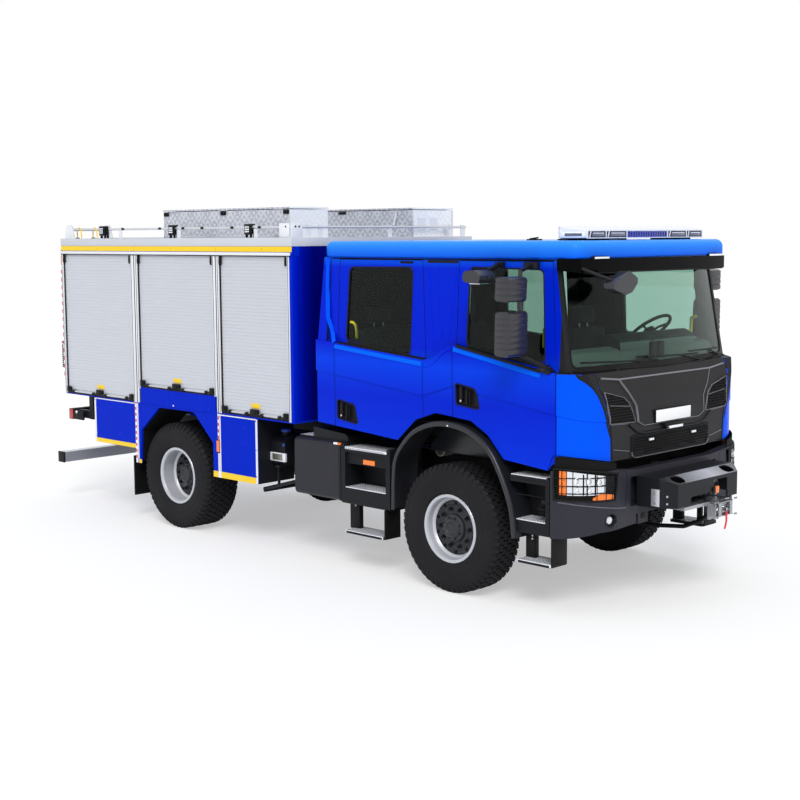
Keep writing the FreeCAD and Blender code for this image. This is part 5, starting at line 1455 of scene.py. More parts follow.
for y in range(-270, 280, 36):
    plate(bm, [(y - 12, 3060), (y, 3060), (y + 12, 3081), (y, 3103), (y - 12, 3103), (y, 3081)],
          (BAR_FRONT, BAR_FRONT + 3), plane="yz", mat=2)
swept = Vector((BAR_FRONT - 950, -848 + 960)).normalized()
for share, wide, low, high, mat, out in ((0.03, 9, 3054, 3122, 0, 5), (0.97, 9, 3054, 3112, 0, 5),
                                         (0.5, 95, 3062, 3100, 3, 2), (0.5, 70, 3068, 3092, 4, 3)):
    centre = Vector((950, -960)).lerp(Vector((BAR_FRONT, -848)), share)
    normal = Vector((swept.y, -swept.x))
    a, b = centre - swept * wide, centre + swept * wide
    points = [a + normal * out, b + normal * out, b - normal * 6, a - normal * 6]
    plate(bm, [tuple(p) for p in points], (low, high), plane="xy", mat=mat, edge=1)
for y in (-600, 600):
    block(bm, (820, 1120), (y - 95, y + 95), (3033, 3052), 2, edge=6)
for y in (-330, 330):
    block(bm, (1000, 1120), (y - 60, y + 60), (3036, 3050), 2, edge=5)
for x, y in ((700, -560), (430, -640), (430, 560)):
    block(bm, (x - 70, x + 70), (y - 24, y + 24), (3033, 3046), 2, edge=5)
    bar(bm, (x - 50, y, 3046), (x + 40, y, 3056), 7, 2, 10)
add_piece("light_bar.modules", bm, [profile_white, led_blue, rubber, led_white, led_pale, bumper_black])

bm = bmesh.new()
for s in (-1, 1):
    block(bm, (1262, 1292), sorted((s * 744, s * 935)), (2887, 2903), 0, edge=4)
    block(bm, (1255, 1286), sorted((s * 736, s * 943)), (2884, 2907), 1, edge=3)
ribbon(bm, "sun_visor", "front", [(-1120, 2790), (-900, 2762), (-500, 2780), (500, 2780), (900, 2762), (1120, 2790)],
       10, 4, 1, step=60)
add_piece("sun_visor.lamps", bm, [led_white, rubber])

# %% [markdown]
# ## Front flap
# The black front is one moulded flap, hinged at the top. A raised shield fills its middle, a honeycomb
# grille lies on each side of the shield and a long one below, and light grey strips along the rims are
# painted highlights. The blank plate and its lamp ride on the flap. Honeycomb is laid as short wires, cell by cell.

# %% Build the grilles and the shield
# A light grey painted highlight for the rims of the flap.
flap_rim_painted_highlight = finish("flap rims, painted highlight", (108, 108, 114), 0.3, drift=0.05, coat=0.2)
rounded("grille_panel", [front_black], width=6, body="grille_flap")


def half_mirrored(points):
    """An outline over both halves, from the points of its right half listed downwards."""
    return points + [(-y, z) for y, z in reversed(points)]


FLAP = "grille_panel"
SHIELD = half_mirrored([(-672, 1900), (-500, 1684), (-486, 1545), (-410, 1513)])
SIDE_MESH = [(-908, 1818), (-660, 1760), (-588, 1702), (-522, 1548), (-862, 1560), (-884, 1690)]
LOW_MESH = half_mirrored([(-572, 1428), (-562, 1282), (-505, 1240)])

bm = bmesh.new()
patch(bm, FLAP, "front", SHIELD, 11, 0, thick=14)
ribbon(bm, FLAP, "front", [(-968, 1934), (-672, 1903), (672, 1903), (968, 1934)], 20, 15, 1, sink=3, step=60)
for s in (-1, 1):
    ribbon(bm, FLAP, "front", [(s * 672, 1900), (s * 500, 1684), (s * 486, 1545)], 16, 14, 1, sink=3, crown=0.3)
ribbon(bm, FLAP, "front", [(-486, 1545), (-410, 1510), (410, 1510), (486, 1545)], 14, 14, 1, sink=3, crown=0.3)
rim = [(-612, 1535), (-505, 1466), (-400, 1446), (400, 1446), (505, 1466), (612, 1535)]
ribbon(bm, FLAP, "front", rim, 30, 16, 0, sink=3, crown=0.3)
ribbon(bm, FLAP, "front", [(-560, 1262), (-440, 1222), (440, 1222), (560, 1262)], 34, 16, 0, sink=3, crown=0.35)
ribbon(bm, FLAP, "front", [(-572, 1300), (-556, 1262), (-440, 1228), (440, 1228), (556, 1262), (572, 1300)], 7, 17, 1,
       sink=3, crown=0.4)
for s in (-1, 1):
    for z0, z1 in ((1552, 1540), (1352, 1312)):
        ribbon(bm, FLAP, "front", [(s * 850, z0), (s * 600, z1)], 8, 4, 1, crown=0.4)
    ribbon(bm, FLAP, "front", [(s * 945, 1838), (s * 872, 1690), (s * 835, 1450), (s * 822, 1262)], 12, 5, 0, crown=0.4)
add_piece("grille_panel.shield", bm, [front_black, flap_rim_painted_highlight], body="grille_flap")

bm = bmesh.new()
patch(bm, FLAP, "front", LOW_MESH, 1.0, 0, thick=3)
honeycomb(bm, FLAP, "front", LOW_MESH, 27, 6, 7, 1)
ribbon(bm, FLAP, "front", closed(LOW_MESH), 10, 9, 1, sink=2, crown=0.5)
for s in (-1, 1):
    mesh_outline = [(-s * y, z) for y, z in SIDE_MESH]
    patch(bm, FLAP, "front", mesh_outline, 1.0, 0, thick=3)
    honeycomb(bm, FLAP, "front", mesh_outline, 27, 6, 7, 1)
    ribbon(bm, FLAP, "front", closed(mesh_outline), 9, 10, 2, sink=2, crown=0.4)
    ribbon(bm, FLAP, "front", [(s * 896, 1712), (s * 592, 1682)], 9, 11, 2, sink=2, crown=0.4)
add_piece("grille_panel.grilles", bm, [gap_and_shade_black, front_black, flap_rim_painted_highlight], body="grille_flap")

bm = bmesh.new()
block(bm, (1422, 1431), (-268, 268), (1512, 1626), 1, edge=3)
block(bm, (1430, 1433), (-258, 258), (1519, 1619), 0, edge=1)
block(bm, (1412, 1452), (-150, 150), (1480, 1502), 1, edge=6)
block(bm, (1425, 1460), (-108, 108), (1452, 1479), 2, edge=5)
block(bm, (1457, 1462), (-100, 100), (1456, 1475), 3, edge=2)
for y in (-318, 318):
    block(bm, (1416, 1432), (y - 36, y + 36), (1374, 1396), 2, edge=3)
    block(bm, (1430, 1434), (y - 31, y + 31), (1377, 1393), 3, edge=1.5)
add_piece("grille_panel.plate", bm, [plate_white, rubber, steel_bright, led_white], body="grille_flap")

# %% [markdown]
# ## Windscreen wipers and cowl
# Three arms rest in a row along the bottom of the windscreen. Each arm is a thin bar cranked upwards
# from its pivot cap, and its blade is a narrow black strip lying against the glass.

# %% Set the wipers on the cowl
BESIDE_GLASS = 1330.0


def screen_x(y, z):
    """How far forward the glass is at a place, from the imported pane."""
    place, _ = dropped("windscreen cab_shell", "front", y, z)
    return (place.x - AXLE_X) * 1000 if place is not None else BESIDE_GLASS


bm = bmesh.new()
for pivot, elbow, tip, blade in (
    ((-640, 1962), (-455, 1925), (-60, 1968), ((-1010, 2056), (-100, 2030))),
    ((-60, 1962), (120, 1938), (620, 1978), ((-240, 2062), (560, 2040))),
    ((560, 1968), (700, 1950), (1005, 1990), ((420, 2068), (1010, 2058))),
):
    route = [(screen_x(*p) + 24, p[0], p[1]) for p in (pivot, elbow, tip)]
    spun(bm, [(-18, 4), (-18, 26), (14, 24), (20, 4)], route[0][0], route[0][1], route[0][2], 0, 20, axis="x")
    pipe(bm, route, 13, 0, 8)
    (y0, z0), (y1, z1) = blade
    count = 8
    line = []
    for i in range(count + 1):
        y, z = y0 + (y1 - y0) * i / count, z0 + (z1 - z0) * i / count
        line.append((screen_x(y, z) + 9, y, z))
    pipe(bm, line, 8, 0, 8)
    pipe(bm, [route[-1], line[5]], 8, 0, 8)
ribbon(bm, "cab_shell windscreen grille_panel", "front", [(-1090, 1990), (-900, 1990), (900, 1990), (1090, 1990)],
       26, 7, 1, sink=3, step=50, crown=0.5)
cowl_side = [(-1148, 1990), (-1122, 1940), (-1080, 1906), (-1036, 1862), (-994, 1800), (-958, 1729), (-928, 1655),
             (-903, 1575), (-878, 1500), (-845, 1430), (-883, 1690), (-946, 1850), (-950, 1972), (-1100, 1974)]
for outline in (cowl_side, [(-y, z) for y, z in cowl_side]):
    patch(bm, "corner_panels cab_shell", "front", outline, 2.5, 0, thick=4, cuts=6, reach=18)
    ribbon(bm, "corner_panels cab_shell", "front", outline[:10], 7, 3.5, 1, step=25)
screen_edge = soft_corners([(-1104, 2014), (1104, 2014), (1068, 2868), (-1068, 2868)], 66)
ribbon(bm, "cab_shell windscreen", "front", closed(screen_edge), 20, 4, 1, sink=4, step=50)
add_piece("windscreen.wipers", bm, [plastic_black, rubber])

# %% [markdown]
# ## Bumper and lamps
# The bumper is thick folded plate with soft edges. Its surface turns round the corner, so the headlamp
# is laid out along a plan curve: a dark bowl, an amber turn lamp, bright reflectors, and a guard of
# thin rods in front. A fog lamp looks out of a round hole in each corner.

# %% Lay out the headlamps along their curve
LAMP_CURVE = [(1118, -1227), (1150, -1218), (1191, -1202), (1220, -1187), (1261, -1162), (1305, -1128),
              (1343, -1088), (1373, -1047), (1406, -989), (1421, -953), (1441, -873), (1450, -836)]
chrome = finish("reflector chrome", (225, 228, 232), 0.1, metallic=0.9, drift=0.12)


def lamp_place(y, z, out):
    """A place on the headlamp's surface at |y| from the middle, moved out along its normal."""
    y = min(max(y, LAMP_CURVE[0][1]), LAMP_CURVE[-1][1])
    for (x0, y0), (x1, y1) in zip(LAMP_CURVE, LAMP_CURVE[1:]):
        if y <= y1:
            break
    t = (y - y0) / (y1 - y0)
    normal = Vector((y1 - y0, -(x1 - x0), 0)).normalized()
    return (x0 + (x1 - x0) * t + normal.x * out, y + normal.y * out, z)


def lamp_panel(bm, y0, y1, low, high, out, mat):
    """A curved panel between two places along the lamp. low and high give its edges at each end."""
    count = max(1, round(abs(y1 - y0) / 16))
    columns = []
    for i in range(count + 1):
        t = i / count
        y = y0 + (y1 - y0) * t
        z0, z1 = low[0] + (low[1] - low[0]) * t, high[0] + (high[1] - high[0]) * t
        columns.append([at(*lamp_place(y, z, o)) for z, o in ((z0, -4), (z1, -4), (z1, out), (z0, out))])
    strung(bm, columns, mat)


bm = bmesh.new()
lamp_panel(bm, -1224, -848, (962, 952), (1208, 1168), 1.0, 0)
lamp_panel(bm, -1226, -836, (1212, 1172), (1312, 1248), -10, 0)
lamp_panel(bm, -1213, -1190, (1003, 1003), (1197, 1196), 5.0, 1)
lamp_panel(bm, -1187, -950, (1000, 1002), (1195, 1152), 3.0, 2)
lamp_panel(bm, -1048, -990, (958, 958), (976, 1012), 5.0, 1)
lamp_panel(bm, -990, -866, (958, 957), (1012, 994), 5.0, 1)
for y, z, r in ((-1142, 1118, 34), (-1070, 1112, 36), (-996, 1104, 34), (-1140, 1042, 26), (-1068, 1038, 26)):
    x, y, z = lamp_place(y, z, 3)
    spun(bm, [(0, 2), (0, r), (4, r), (6, r - 5), (2, 2)], x, y, z, 3, 28, axis="x")
    spun(bm, [(4, 2), (4, r * 0.55), (9, r * 0.4), (11, 2)], x, y, z, 2, 24, axis="x")
for y in (-1108, -1030):
    lamp_panel(bm, y - 4, y + 4, (1004, 1004), (1176, 1170), 7.0, 0)
lamp_panel(bm, -1187, -952, (1070, 1068), (1078, 1076), 7.0, 0)
lamp_panel(bm, -946, -860, (1018, 1016), (1152, 1140), 2.0, 4)
with_mirror(bm)
add_piece("headlamps.bowls", bm, [gap_and_shade_black, lamp_amber, chrome, led_white, plastic_black], stands_for=("headlamps",))

bm = bmesh.new()
border = [(-1224, 962), (-1160, 958), (-1060, 953), (-950, 950), (-856, 948), (-838, 1060), (-826, 1162), (-900, 1176),
          (-1000, 1190), (-1100, 1203), (-1190, 1210), (-1226, 1212), (-1229, 1090), (-1224, 962)]
pipe(bm, [lamp_place(y, z, 11) for y, z in border], 8, 0, 10)
for y, z0, z1 in ((-1204, 962, 1210), (-1162, 958, 1208), (-1087, 954, 1202), (-1020, 952, 1194), (-950, 950, 1182),
                  (-885, 949, 1172)):
    pipe(bm, [lamp_place(y, z, 16) for z in (z0, (z0 + z1) / 2, z1)], 3.2, 0, 8)
for z in (1015, 1075, 1140):
    pipe(bm, [lamp_place(y, z, 18) for y in range(-1226, -835, 30)], 3.2, 0, 8)
with_mirror(bm)
add_piece("headlamps.guards", bm, [rubber])

# %% [markdown]
# The fog lamp holes are taken out of the bumper's rounded copy with a round cutter, and a closed cup is
# set in each hole so that nothing shows through.

# %% Round the bumper, cut the fog lamp holes and fit its details
FOG = (1441.0, -890.0, 780.0)
FOG_LOOK = Vector((0.975, -0.222, 0.0))


def pierced(piece, cutter):
    """The piece with a closed cutter mesh taken out of it."""
    tool_mesh = bpy.data.meshes.new("cutter")
    cutter.to_mesh(tool_mesh)
    cutter.free()
    tool = bpy.data.objects.new("cutter", tool_mesh)
    bpy.context.collection.objects.link(tool)
    cut = piece.modifiers.new("hole", "BOOLEAN")
    cut.object = tool
    cut.operation = "DIFFERENCE"
    cut.solver = "EXACT"
    others = [m for m in piece.modifiers if m.name != "hole"]
    for modifier in others:
        modifier.show_viewport = False
    bpy.context.view_layer.update()
    seen = piece.evaluated_get(bpy.context.evaluated_depsgraph_get())
    result = bpy.data.meshes.new_from_object(seen)
    piece.modifiers.remove(cut)
    piece.data = result
    for modifier in others:
        modifier.show_viewport = True
    bpy.data.objects.remove(tool)
    bpy.data.meshes.remove(tool_mesh)


def fog_place(along):
    """A place on the fog lamp's line of sight, in millimetres out of its hole."""
    return tuple(Vector(FOG) + FOG_LOOK * along)


bumper = rounded("bumper", [bumper_black], width=9)
cutter = bmesh.new()
bar(cutter, fog_place(60), fog_place(-62), 56, 0, 40)
with_mirror(cutter)
pierced(bumper, cutter)

FOG_CUP = [(6, 62), (9, 58), (6, 54), (-20, 53), (-58, 44), (-60, 4), (-66, 4), (-66, 60), (0, 60)]
bm = bmesh.new()
spun(bm, FOG_CUP, *FOG, steps=40, axis=FOG_LOOK)
bmesh.ops.recalc_face_normals(bm, faces=bm.faces)
bar(bm, fog_place(-57), fog_place(-22), 34, 1, 28, end_radius=30)
bar(bm, fog_place(-24), fog_place(-16), 29, 2, 28, end_radius=20)
ribbon(bm, "bumper", "front", [(-806, 1180), (-700, 1160), (-690, 1040), (-720, 880)], 5, 0.8, 3, step=20)
# This strip along the lower corner's upper edge is a painted highlight in lighter grey.
ribbon(bm, "bumper", "front", [(-1222, 940), (-1150, 925), (-1007, 902), (-860, 880), (-700, 862)], 12, 5, 6,
       step=20, crown=0.5)
for z in (735, 760, 812, 838):
    bar(bm, (1362, -515, z), (1368, -515, z), 6, 4, 10)
ring(bm, [(-505, 712), (-395, 712), (-395, 848), (-505, 848)], 22, (1444, 1450), plane="yz", mat=3)
block(bm, (1440, 1447), (-484, -416), (738, 822), 5, edge=4)
with_mirror(bm)
add_piece("bumper.lamps", bm, [bumper_black, chrome, lens_glass, gap_and_shade_black, steel_bright, rubber, bumper_painted_highlight])

# %% [markdown]
# ## Winch
# The winch hides in a folded box with a sloping top. Two rollers and two upright guides lead its rope,
# and the red strap hangs from the hook beside them. The rope is wound on the drum as close rings.

# %% Finish the winch box, fairlead and hook
# The black box's sloping top takes a grey painted highlight, lightest across the middle and dark at its ends.
winch_slope_painted_highlight = finish("winch slope, painted highlight", (98, 100, 108), 0.35, drift=0.08, grain=0.2)
ramp_along(winch_slope_painted_highlight, "Y", -0.4, 0.6, (
    (-0.35, (26, 26, 30)), (-0.32, (100, 102, 110)), (0.1, (164, 166, 176)), (0.5, (66, 66, 74)),
))
rounded("winch_box", [steel_black, winch_slope_painted_highlight], width=5,
        choose=lambda face: int(0.2 < face.normal.x < 0.7 and face.normal.z > 0.5))
rounded("winch", [steel_bright], width=1.5, angle=40)
bm = bmesh.new()
for y in range(-250, 200, 13):
    spun(bm, [(-6, 52), (0, 58), (6, 52)], 1600, y, 930, 0, 28)
for z in (903, 963):
    for s in (-1, 1):
        bar(bm, (1724, s * 520, z), (1732, s * 528, z), 9, 1, 16)
for s in (-1, 1):
    block(bm, (1600, 1680), sorted((s * 561, s * 566)), (878, 1020), 2, edge=2)
    for z in (903, 985):
        bar(bm, (1640, s * 562, z), (1640, s * 572, z), 9, 1, 16)
block(bm, (1786, 1796), (98, 150), (915, 975), 3, edge=4)
block(bm, (1786, 1798), (60, 96), (918, 970), 4, edge=4)
block(bm, (1700, 1780), (-20, 60), (870, 900), 5, edge=4)
for y in (20, 60, 330, 352):
    bar(bm, (1836, y, 715), (1846, y, 715), 8, 1, 12)
    bar(bm, (1836, y, 850), (1846, y, 850), 8, 1, 12)
add_piece("winch.rope", bm, [cast_iron, steel_bright, alloy, lamp_amber, rubber, plastic_black])

# %% [markdown]
# ## Front fenders
# Each fender is a smooth arch of grained sheet with its outer rim rolled inwards. A few
# places give the arch; a curve is drawn through them and one rolled section is swept along it.

# %% Sweep the fender section along its arch
FENDER = [(-706, 640), (-704, 700), (-680, 1080), (-545, 1290), (-366, 1420), (-100, 1488), (215, 1450), (480, 1280),
          (684, 901), (742, 589)]


def smooth_curve(points, steps=7):
    """A curve that passes through every point of a flat route."""
    padded_route = [points[0]] + points + [points[-1]]
    result = []
    for p0, p1, p2, p3 in zip(padded_route, padded_route[1:], padded_route[2:], padded_route[3:]):
        p0, p1, p2, p3 = (Vector(p) for p in (p0, p1, p2, p3))
        for k in range(steps):
            t = k / steps
            result.append(tuple(0.5 * ((2 * p1) + (p2 - p0) * t + (2 * p0 - 5 * p1 + 4 * p2 - p3) * t * t
                                       + (3 * p1 - 3 * p2 + p3 - p0) * t * t * t)))
    return result + [tuple(points[-1])]


def swept(bm, route, section):
    """A closed (y, inwards) section carried along a route drawn in the side view."""
    rows = []
    for i, (x, z) in enumerate(route):
        way = Vector(route[min(i + 1, len(route) - 1)]) - Vector(route[max(i - 1, 0)])
        inwards = Vector((way.y, -way.x)).normalized()
        rows.append([at(x + inwards.x * d, y, z + inwards.y * d) for y, d in section])
    strung(bm, rows)


arch = smooth_curve(FENDER)
ROLLED = [(-932, 0), (-1246, 0), (-1256, 3), (-1262, 12), (-1262, 34), (-1257, 41), (-1249, 38), (-1250, 16),
          (-1240, 9), (-932, 9)]
bm = bmesh.new()
swept(bm, arch, ROLLED)
swept(bm, arch, [(-1234, -3), (-1244, -3), (-1246, 2), (-1232, 2)])
plate(bm, [(-520, 1165), (-490, 1240), (-340, 1370), (-90, 1440), (200, 1405), (430, 1250), (460, 1165)],
      (-942, -930), edge=2)
block(bm, (-60, 60), (-935, -430), (1168, 1200), edge=4)
block(bm, (-60, 60), (-445, -421), (1000, 1200), edge=4)
bar(bm, (-10, -1262, 1461), (-10, -1266, 1461), 7, 1, 16)
for x, z in ((523, 1205), (736, 625), (-676, 1050)):
    bar(bm, (x - 8, -1261, z - 22), (x - 8, -1265, z - 22), 6, 0, 12)
with_mirror(bm)
add_piece("front_fenders.arches", bm, [fender_black, led_white], smooth=50,
          stands_for=("front_fenders",))

# %% [markdown]
# ## Tanks and steps
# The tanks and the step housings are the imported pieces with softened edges. The treads are perforated
# aluminium: a grid of slanted cells, each with its middle taken out, given the thickness of the sheet.

# %% Lay the perforated treads


def tread(bm, x, y, z, pitch, thick=1.6, wall=0.17):
    """A perforated sheet with slanted holes and a plain rim, its top at z. Its cut edges are the second material."""
    nx, ny = (max(2, round((b - a) / pitch)) for a, b in (x, y))
    rows = []
    for j in range(ny + 1):
        lean = pitch * 0.42 * (1 if j % 2 else -1)
        row = []
        for i in range(nx + 1):
            px = x[0] + (x[1] - x[0]) * i / nx + (lean if 0 < i < nx else 0)
            row.append(bm.verts.new(at(px, y[0] + (y[1] - y[0]) * j / ny, z)))
        rows.append(row)
    cells = [bm.faces.new((rows[j][i], rows[j][i + 1], rows[j + 1][i + 1], rows[j + 1][i]))
             for j in range(ny) for i in range(nx)]
    for cell in cells:
        cell.normal_update()
    bmesh.ops.inset_individual(bm, faces=cells, thickness=pitch * wall / 1000, use_even_offset=True)
    sheet = list({f for c in cells for v in c.verts for f in v.link_faces} - set(cells))
    bmesh.ops.delete(bm, geom=cells, context="FACES_ONLY")
    corners = list({v for f in sheet for v in f.verts})
    everything = thicken(bm, corners, sheet, Vector((0, 0, -thick / 1000)), 0)
    for face in {f for v in everything for f in v.link_faces}:
        face.normal_update()
        face.material_index = int(abs(face.normal.z) <= 0.5)


rounded("cab_steps", [plastic_black], width=7)
bm = bmesh.new()
TREADS = (
    ((-1338, -800), (-1216, -985), 1142, 30), ((-1330, -808), (-1218, -1000), 767, 30),
    ((-1326, -840), (-1229, -1018), 360, 27), ((668, 1030), (-1216, -1030), 1121, 30),
    ((690, 1020), (-1216, -1020), 751, 30), ((742, 1092), (-1229, -1018), 415, 27),
)
for x, y, z, pitch in TREADS:
    tread(bm, x, y, z, pitch)
    block(bm, (x[0] - 3, x[1] + 3), (y[0] - 4, y[0] + 2), (z - 24, z + 1), 0, edge=1.5)
    for k in range(int((x[1] - x[0]) / pitch)):
        hole = x[0] + pitch * (k + 0.5)
        block(bm, (hole - 7, hole + 7), (y[0] - 5, y[0] - 3.5), (z - 16, z - 7), 1)
    block(bm, x, (y[0] + 2, y[1]), (z - 8, z - 2.4), 1)
for x in (-1113, -1063, -1013):
    block(bm, (x - 4, x + 46), (-1204, -1194), (995, 1040), 2, edge=4)
ring(bm, [(-1125, 987), (-960, 987), (-960, 1048), (-1125, 1048)], 8, (-1203, -1194), mat=1)
block(bm, (-1388, -1262), (-1115, -1062), (352, 612), 1, edge=5)
block(bm, (-822, -806), (-1230, -1030), (336, 610), 1, edge=5)
block(bm, (738, 838), (-1115, -1062), (406, 650), 1, edge=5)
block(bm, (1094, 1108), (-1232, -1030), (392, 640), 1, edge=5)
for x in (-1312, -854, 810, 1020):
    for z in (575, 600):
        bar(bm, (x, -1117, z), (x, -1108, z), 8, 0, 14)
block(bm, (985, 1068), (-1224, -1180), (905, 940), 1, edge=8)
block(bm, (940, 1000), (-1190, -1120), (800, 905), 3, edge=6)
block(bm, (940, 1068), (-1226, -1150), (858, 866), 1, edge=3)
for z in (958, 1084):
    block(bm, (700, 1030), (-1225, -1221), (z, z + 6), 1, edge=1.5)
with_mirror(bm)
add_piece("cab_steps.treads", bm, [tread_silver, rubber, lamp_amber, gap_and_shade_black])

# %% [markdown]
# The fuel tank has a light perforated plate on its shoulder beside a dark sloping cover, and a marker
# lamp at its front top corner. The additive tank behind it has a bright band and a blue filler cap.

# %% Finish the tanks, pipes and hoses
COVER_Z = 1.171
rounded("side_tanks", [tank_grey, steel_black], width=6, angle=40,
        choose=lambda face: int(face.calc_center_median().z > COVER_Z))
bm = bmesh.new()
tread(bm, (-2036, -1856), (-1160, -780), 1186, 26)
block(bm, (-2036, -1856), (-1160, -780), (1170, 1178), 1, edge=2)
block(bm, (-1500, -1448), (-1219, -1196), (1146, 1166), 2, edge=4)
block(bm, (-1448, -1408), (-1219, -1196), (1146, 1166), 3, edge=4)
with_mirror(bm)
add_piece("side_tanks.fittings", bm, [tread_silver, steel_black, led_white, lamp_amber])

rounded("additive_tank", [plastic_black], width=10)
bm = bmesh.new()
block(bm, (-2536, -2312), (-1116, -1090), (872, 958), 0, edge=4)
block(bm, (-2500, -2350), (-1119, -1114), (884, 946), 1, edge=2)
spun(bm, [(-30, 4), (-30, 50), (0, 50), (0, 30), (14, 30), (14, 4)], -2440, -985, 1138, 2, 40, axis="z")
spun(bm, [(14, 4), (14, 46), (38, 46), (44, 40), (44, 4)], -2440, -985, 1138, 3, 40, axis="z")
for k in range(14):
    turn = math.tau * k / 14
    x, y = -2440 + 46 * math.cos(turn), -985 + 46 * math.sin(turn)
    bar(bm, (x, y, 1155), (x, y, 1174), 4, 3, 8)
block(bm, (-2352, -2318), (-1116, -1108), (1030, 1056), 3, edge=2)
pipe(bm, [(-2600, -1140, 566), (-2600, -600, 566), (-2480, -460, 700)], 22, 2)
add_piece("additive_tank.band", bm, [tread_silver, exhaust_grey, rubber, cap_blue])

bm = bmesh.new()
spun(bm, [(-215, 4), (-215, 52), (-205, 60), (0, 60), (4, 54), (4, 48), (-150, 48), (-150, 4)], -420, 915, 1170, 0, 40)
pipe(bm, [(x, -250, z) for x, z in ((1755, 819), (1657, 718), (1557, 627), (1387, 552), (1141, 526), (924, 517))],
     19, 1)
turned_over(bm)
# The dark walls across the front and beside the wheel wells under the cab are painted shade in the spaces there.
block(bm, (1140, 1175), (-1125, 1125), (1120, 1300), 2, edge=6)
for s in (-1, 1):
    block(bm, (-700, 640), sorted((s * 600, s * 590)), (1080, 1460), 2, edge=3)
    block(bm, (-690, 620), sorted((s * 1150, s * 600)), (1452, 1460), 2, edge=3)
add_piece("chassis_frame.hoses_and_shade_walls", bm, [exhaust_grey, rubber, gap_and_shade_black])
print("chassis side done:", len(made), "pieces so far")

# %% [markdown]
# ## Seats
# Each cushion is a closed, crowned form whose sides pull in, with sewn channels across it. It starts as
# a finely divided cube: every point is pushed by how far it lies from the middle, and the channels are
# soft valleys. The pedestals stay plain.

# %% Stuff the seats


def pad(name, middle, half, tilt, channels):
    """A stuffed form round a place. half is its half size, and tilt leans it back in degrees."""
    bm = bmesh.new()
    bmesh.ops.create_cube(bm, size=2.0)
    bmesh.ops.subdivide_edges(bm, edges=bm.edges[:], cuts=19, use_grid_fill=True)
    turn = Matrix.Rotation(math.radians(tilt), 3, "Y")
    size = Vector(half) / 1000
    for v in bm.verts:
        a, b, c = v.co
        edge = max(abs(a), abs(b))
        a, b = a * (1 - 0.05 * c * c), b * (1 - 0.05 * c * c)
        corner = 1 - 0.06 * (v.co.x * v.co.y) ** 4
        valley = sum(math.exp(-((v.co.y - g) / 0.035) ** 2) for g in channels) * (0.1 if v.co.z > 0 else 0)
        c = c * (0.78 + 0.22 * (1 - edge ** 5)) - valley
        v.co = at(*middle) + turn @ Vector((a * corner * size.x, b * corner * size.y, c * size.z))
    add_piece(name, bm, [seat_cloth], smooth=70)


bm = bmesh.new()
SEATS = (("driver", 60, 560, 520, 1302), ("passenger", 60, -560, 520, 1302), ("bench", -1480, 0, 1900, 1385))
for name, x, y, width, floor in SEATS:
    block(bm, (x + 60, x + 460), (y - width / 2 + 110, y + width / 2 - 110), (floor, 1640), 0, edge=12)
    sewn = (-0.33, 0.33) if width > 600 else (-0.55, 0.55)
    pad("seats.%s_cushion" % name, (x + 262, y, 1692), (258, width / 2, 66), 3, sewn)
    pad("seats.%s_back" % name, (x + 45, y, 1958), (268, width / 2, 62), -98, sewn)
    for head_y in ((y,) if width < 600 else (-620, 0, 620)):
        pad("seats.%s_head_%d" % (name, head_y + 700), (x - 14, head_y, 2335), (82, 132, 46), -98, ())
        for s in (-1, 1):
            bar(bm, (x - 8, head_y + s * 60, 2215), (x - 14, head_y + s * 60, 2290), 7, 1, 10)
add_piece("seats.frames", bm, [trim_dark, steel_bright], stands_for=("seats",))

# %% [markdown]
# ## Dashboard and steering wheel
# The dash is one soft moulding with a black instrument hood. The steering wheel is a padded ring on
# three spokes, and two small black units stand behind the windscreen. Yellow grab handles are fixed
# beside the doors.

# %% Fit the driver's place
HOOD_Z = 2.145
rounded("dashboard", [dash_grey, trim_dark], width=14,
        choose=lambda face: int(face.calc_center_median().z > HOOD_Z))
WHEEL = Vector((780, 560, 2215))
COLUMN = Vector((-0.64, 0, 0.768)).normalized()
across = Vector((0, 1, 0))
up_dash = COLUMN.cross(across)


def wheel_place(turn, radius, lift=0.0):
    """A place on the steering wheel: a turn in degrees, a radius and a lift along the column."""
    spot = WHEEL + COLUMN * lift
    turn = math.radians(turn)
    return tuple(spot + across * (radius * math.cos(turn)) + up_dash * (radius * math.sin(turn)))


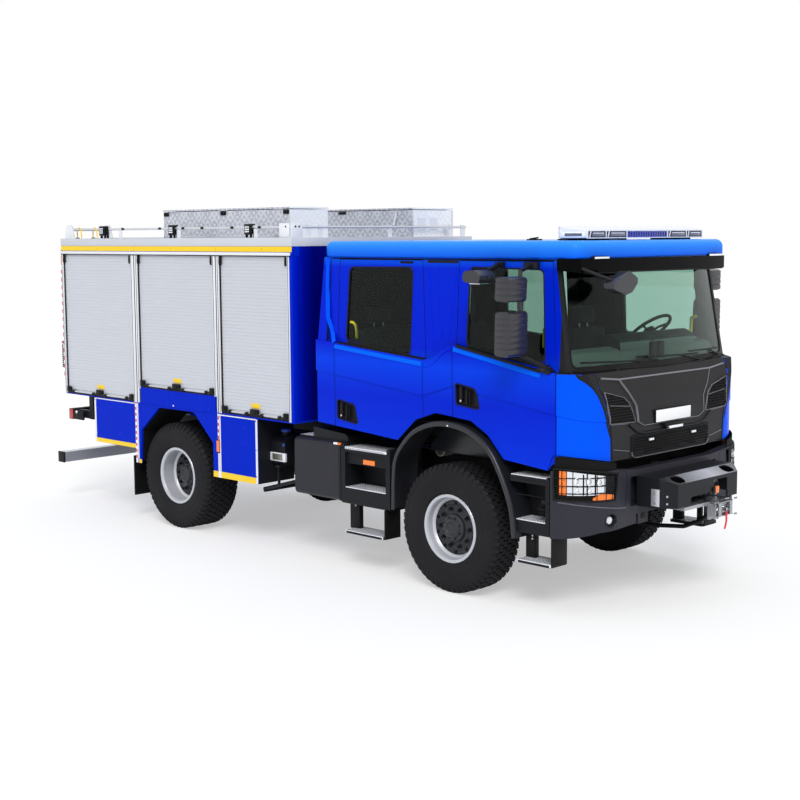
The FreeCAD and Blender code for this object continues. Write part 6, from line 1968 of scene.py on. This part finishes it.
bm = bmesh.new()
pipe(bm, [wheel_place(k * 9, 222) for k in range(41)], 15, 0, 14)
for turn in (90, 205, 335):
    pipe(bm, [wheel_place(turn, r, -12 * (r < 120)) for r in (40, 120, 215)], 11, 1, 10)
bar(bm, tuple(WHEEL - COLUMN * 38), tuple(WHEEL + COLUMN * 14), 62, 0, 32, end_radius=54)
add_piece("steering_wheel.ring", bm, [trim_dark, steel_black], stands_for=("steering_wheel",))

bm = bmesh.new()
for y0, y1 in ((-137, -68), (-46, 49)):
    plate(bm, soft_corners([(y0, 2050), (y1, 2050), (y1, 2180), (y0, 2180)], 24, 4), (1262, 1296), plane="yz", edge=3)
block(bm, (1140, 1298), (-150, 60), (2036, 2052), 0, edge=4)
bar(bm, (1280, -104, 2170), (1280, -104, 2204), 5, 0, 10)
block(bm, (826, 872), (-160, 60), (1972, 2060), 1, edge=8)
for y in (-800, -420, 180, 860):
    block(bm, (822, 858), (y - 70, y + 70), (1970, 2012), 0, edge=6)
for s in (-1, 1):
    pipe(bm, [(-1338, s * 1128, 2292), (-1302, s * 1128, 2290), (-1274, s * 1128, 2266), (-1262, s * 1128, 2222),
              (-1258, s * 1128, 2143)], 14, 2, 12)
    pipe(bm, [(943, s * 1078, 2329), (895, s * 1078, 2312), (890, s * 1078, 2170)], 15, 2, 12)
add_piece("dashboard.fittings", bm, [rubber, trim_dark, grab_yellow])
print("interior done:", len(made), "pieces so far")

# %% [markdown]
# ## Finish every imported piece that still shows
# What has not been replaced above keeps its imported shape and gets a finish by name.

# %% Assign the remaining finishes
castings = "drivetrain leaf_springs front_axle rear_axle knuckle_right knuckle_left tie_rod"
plain = dict.fromkeys(castings.split(), cast_iron)
plain.update({"chassis_frame": steel_black, "windscreen": green_glass})
for side, _ in SIDES:
    for end in ("front", "rear"):
        plain["window_%s_%s" % (end, side)] = side_glass
for node, mat in plain.items():
    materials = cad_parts[node].data.materials
    materials.clear()
    materials.append(mat)
shown = [n for n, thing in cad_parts.items() if not thing.hide_render]
print("packed pieces still shown:", len(shown), sorted(shown))
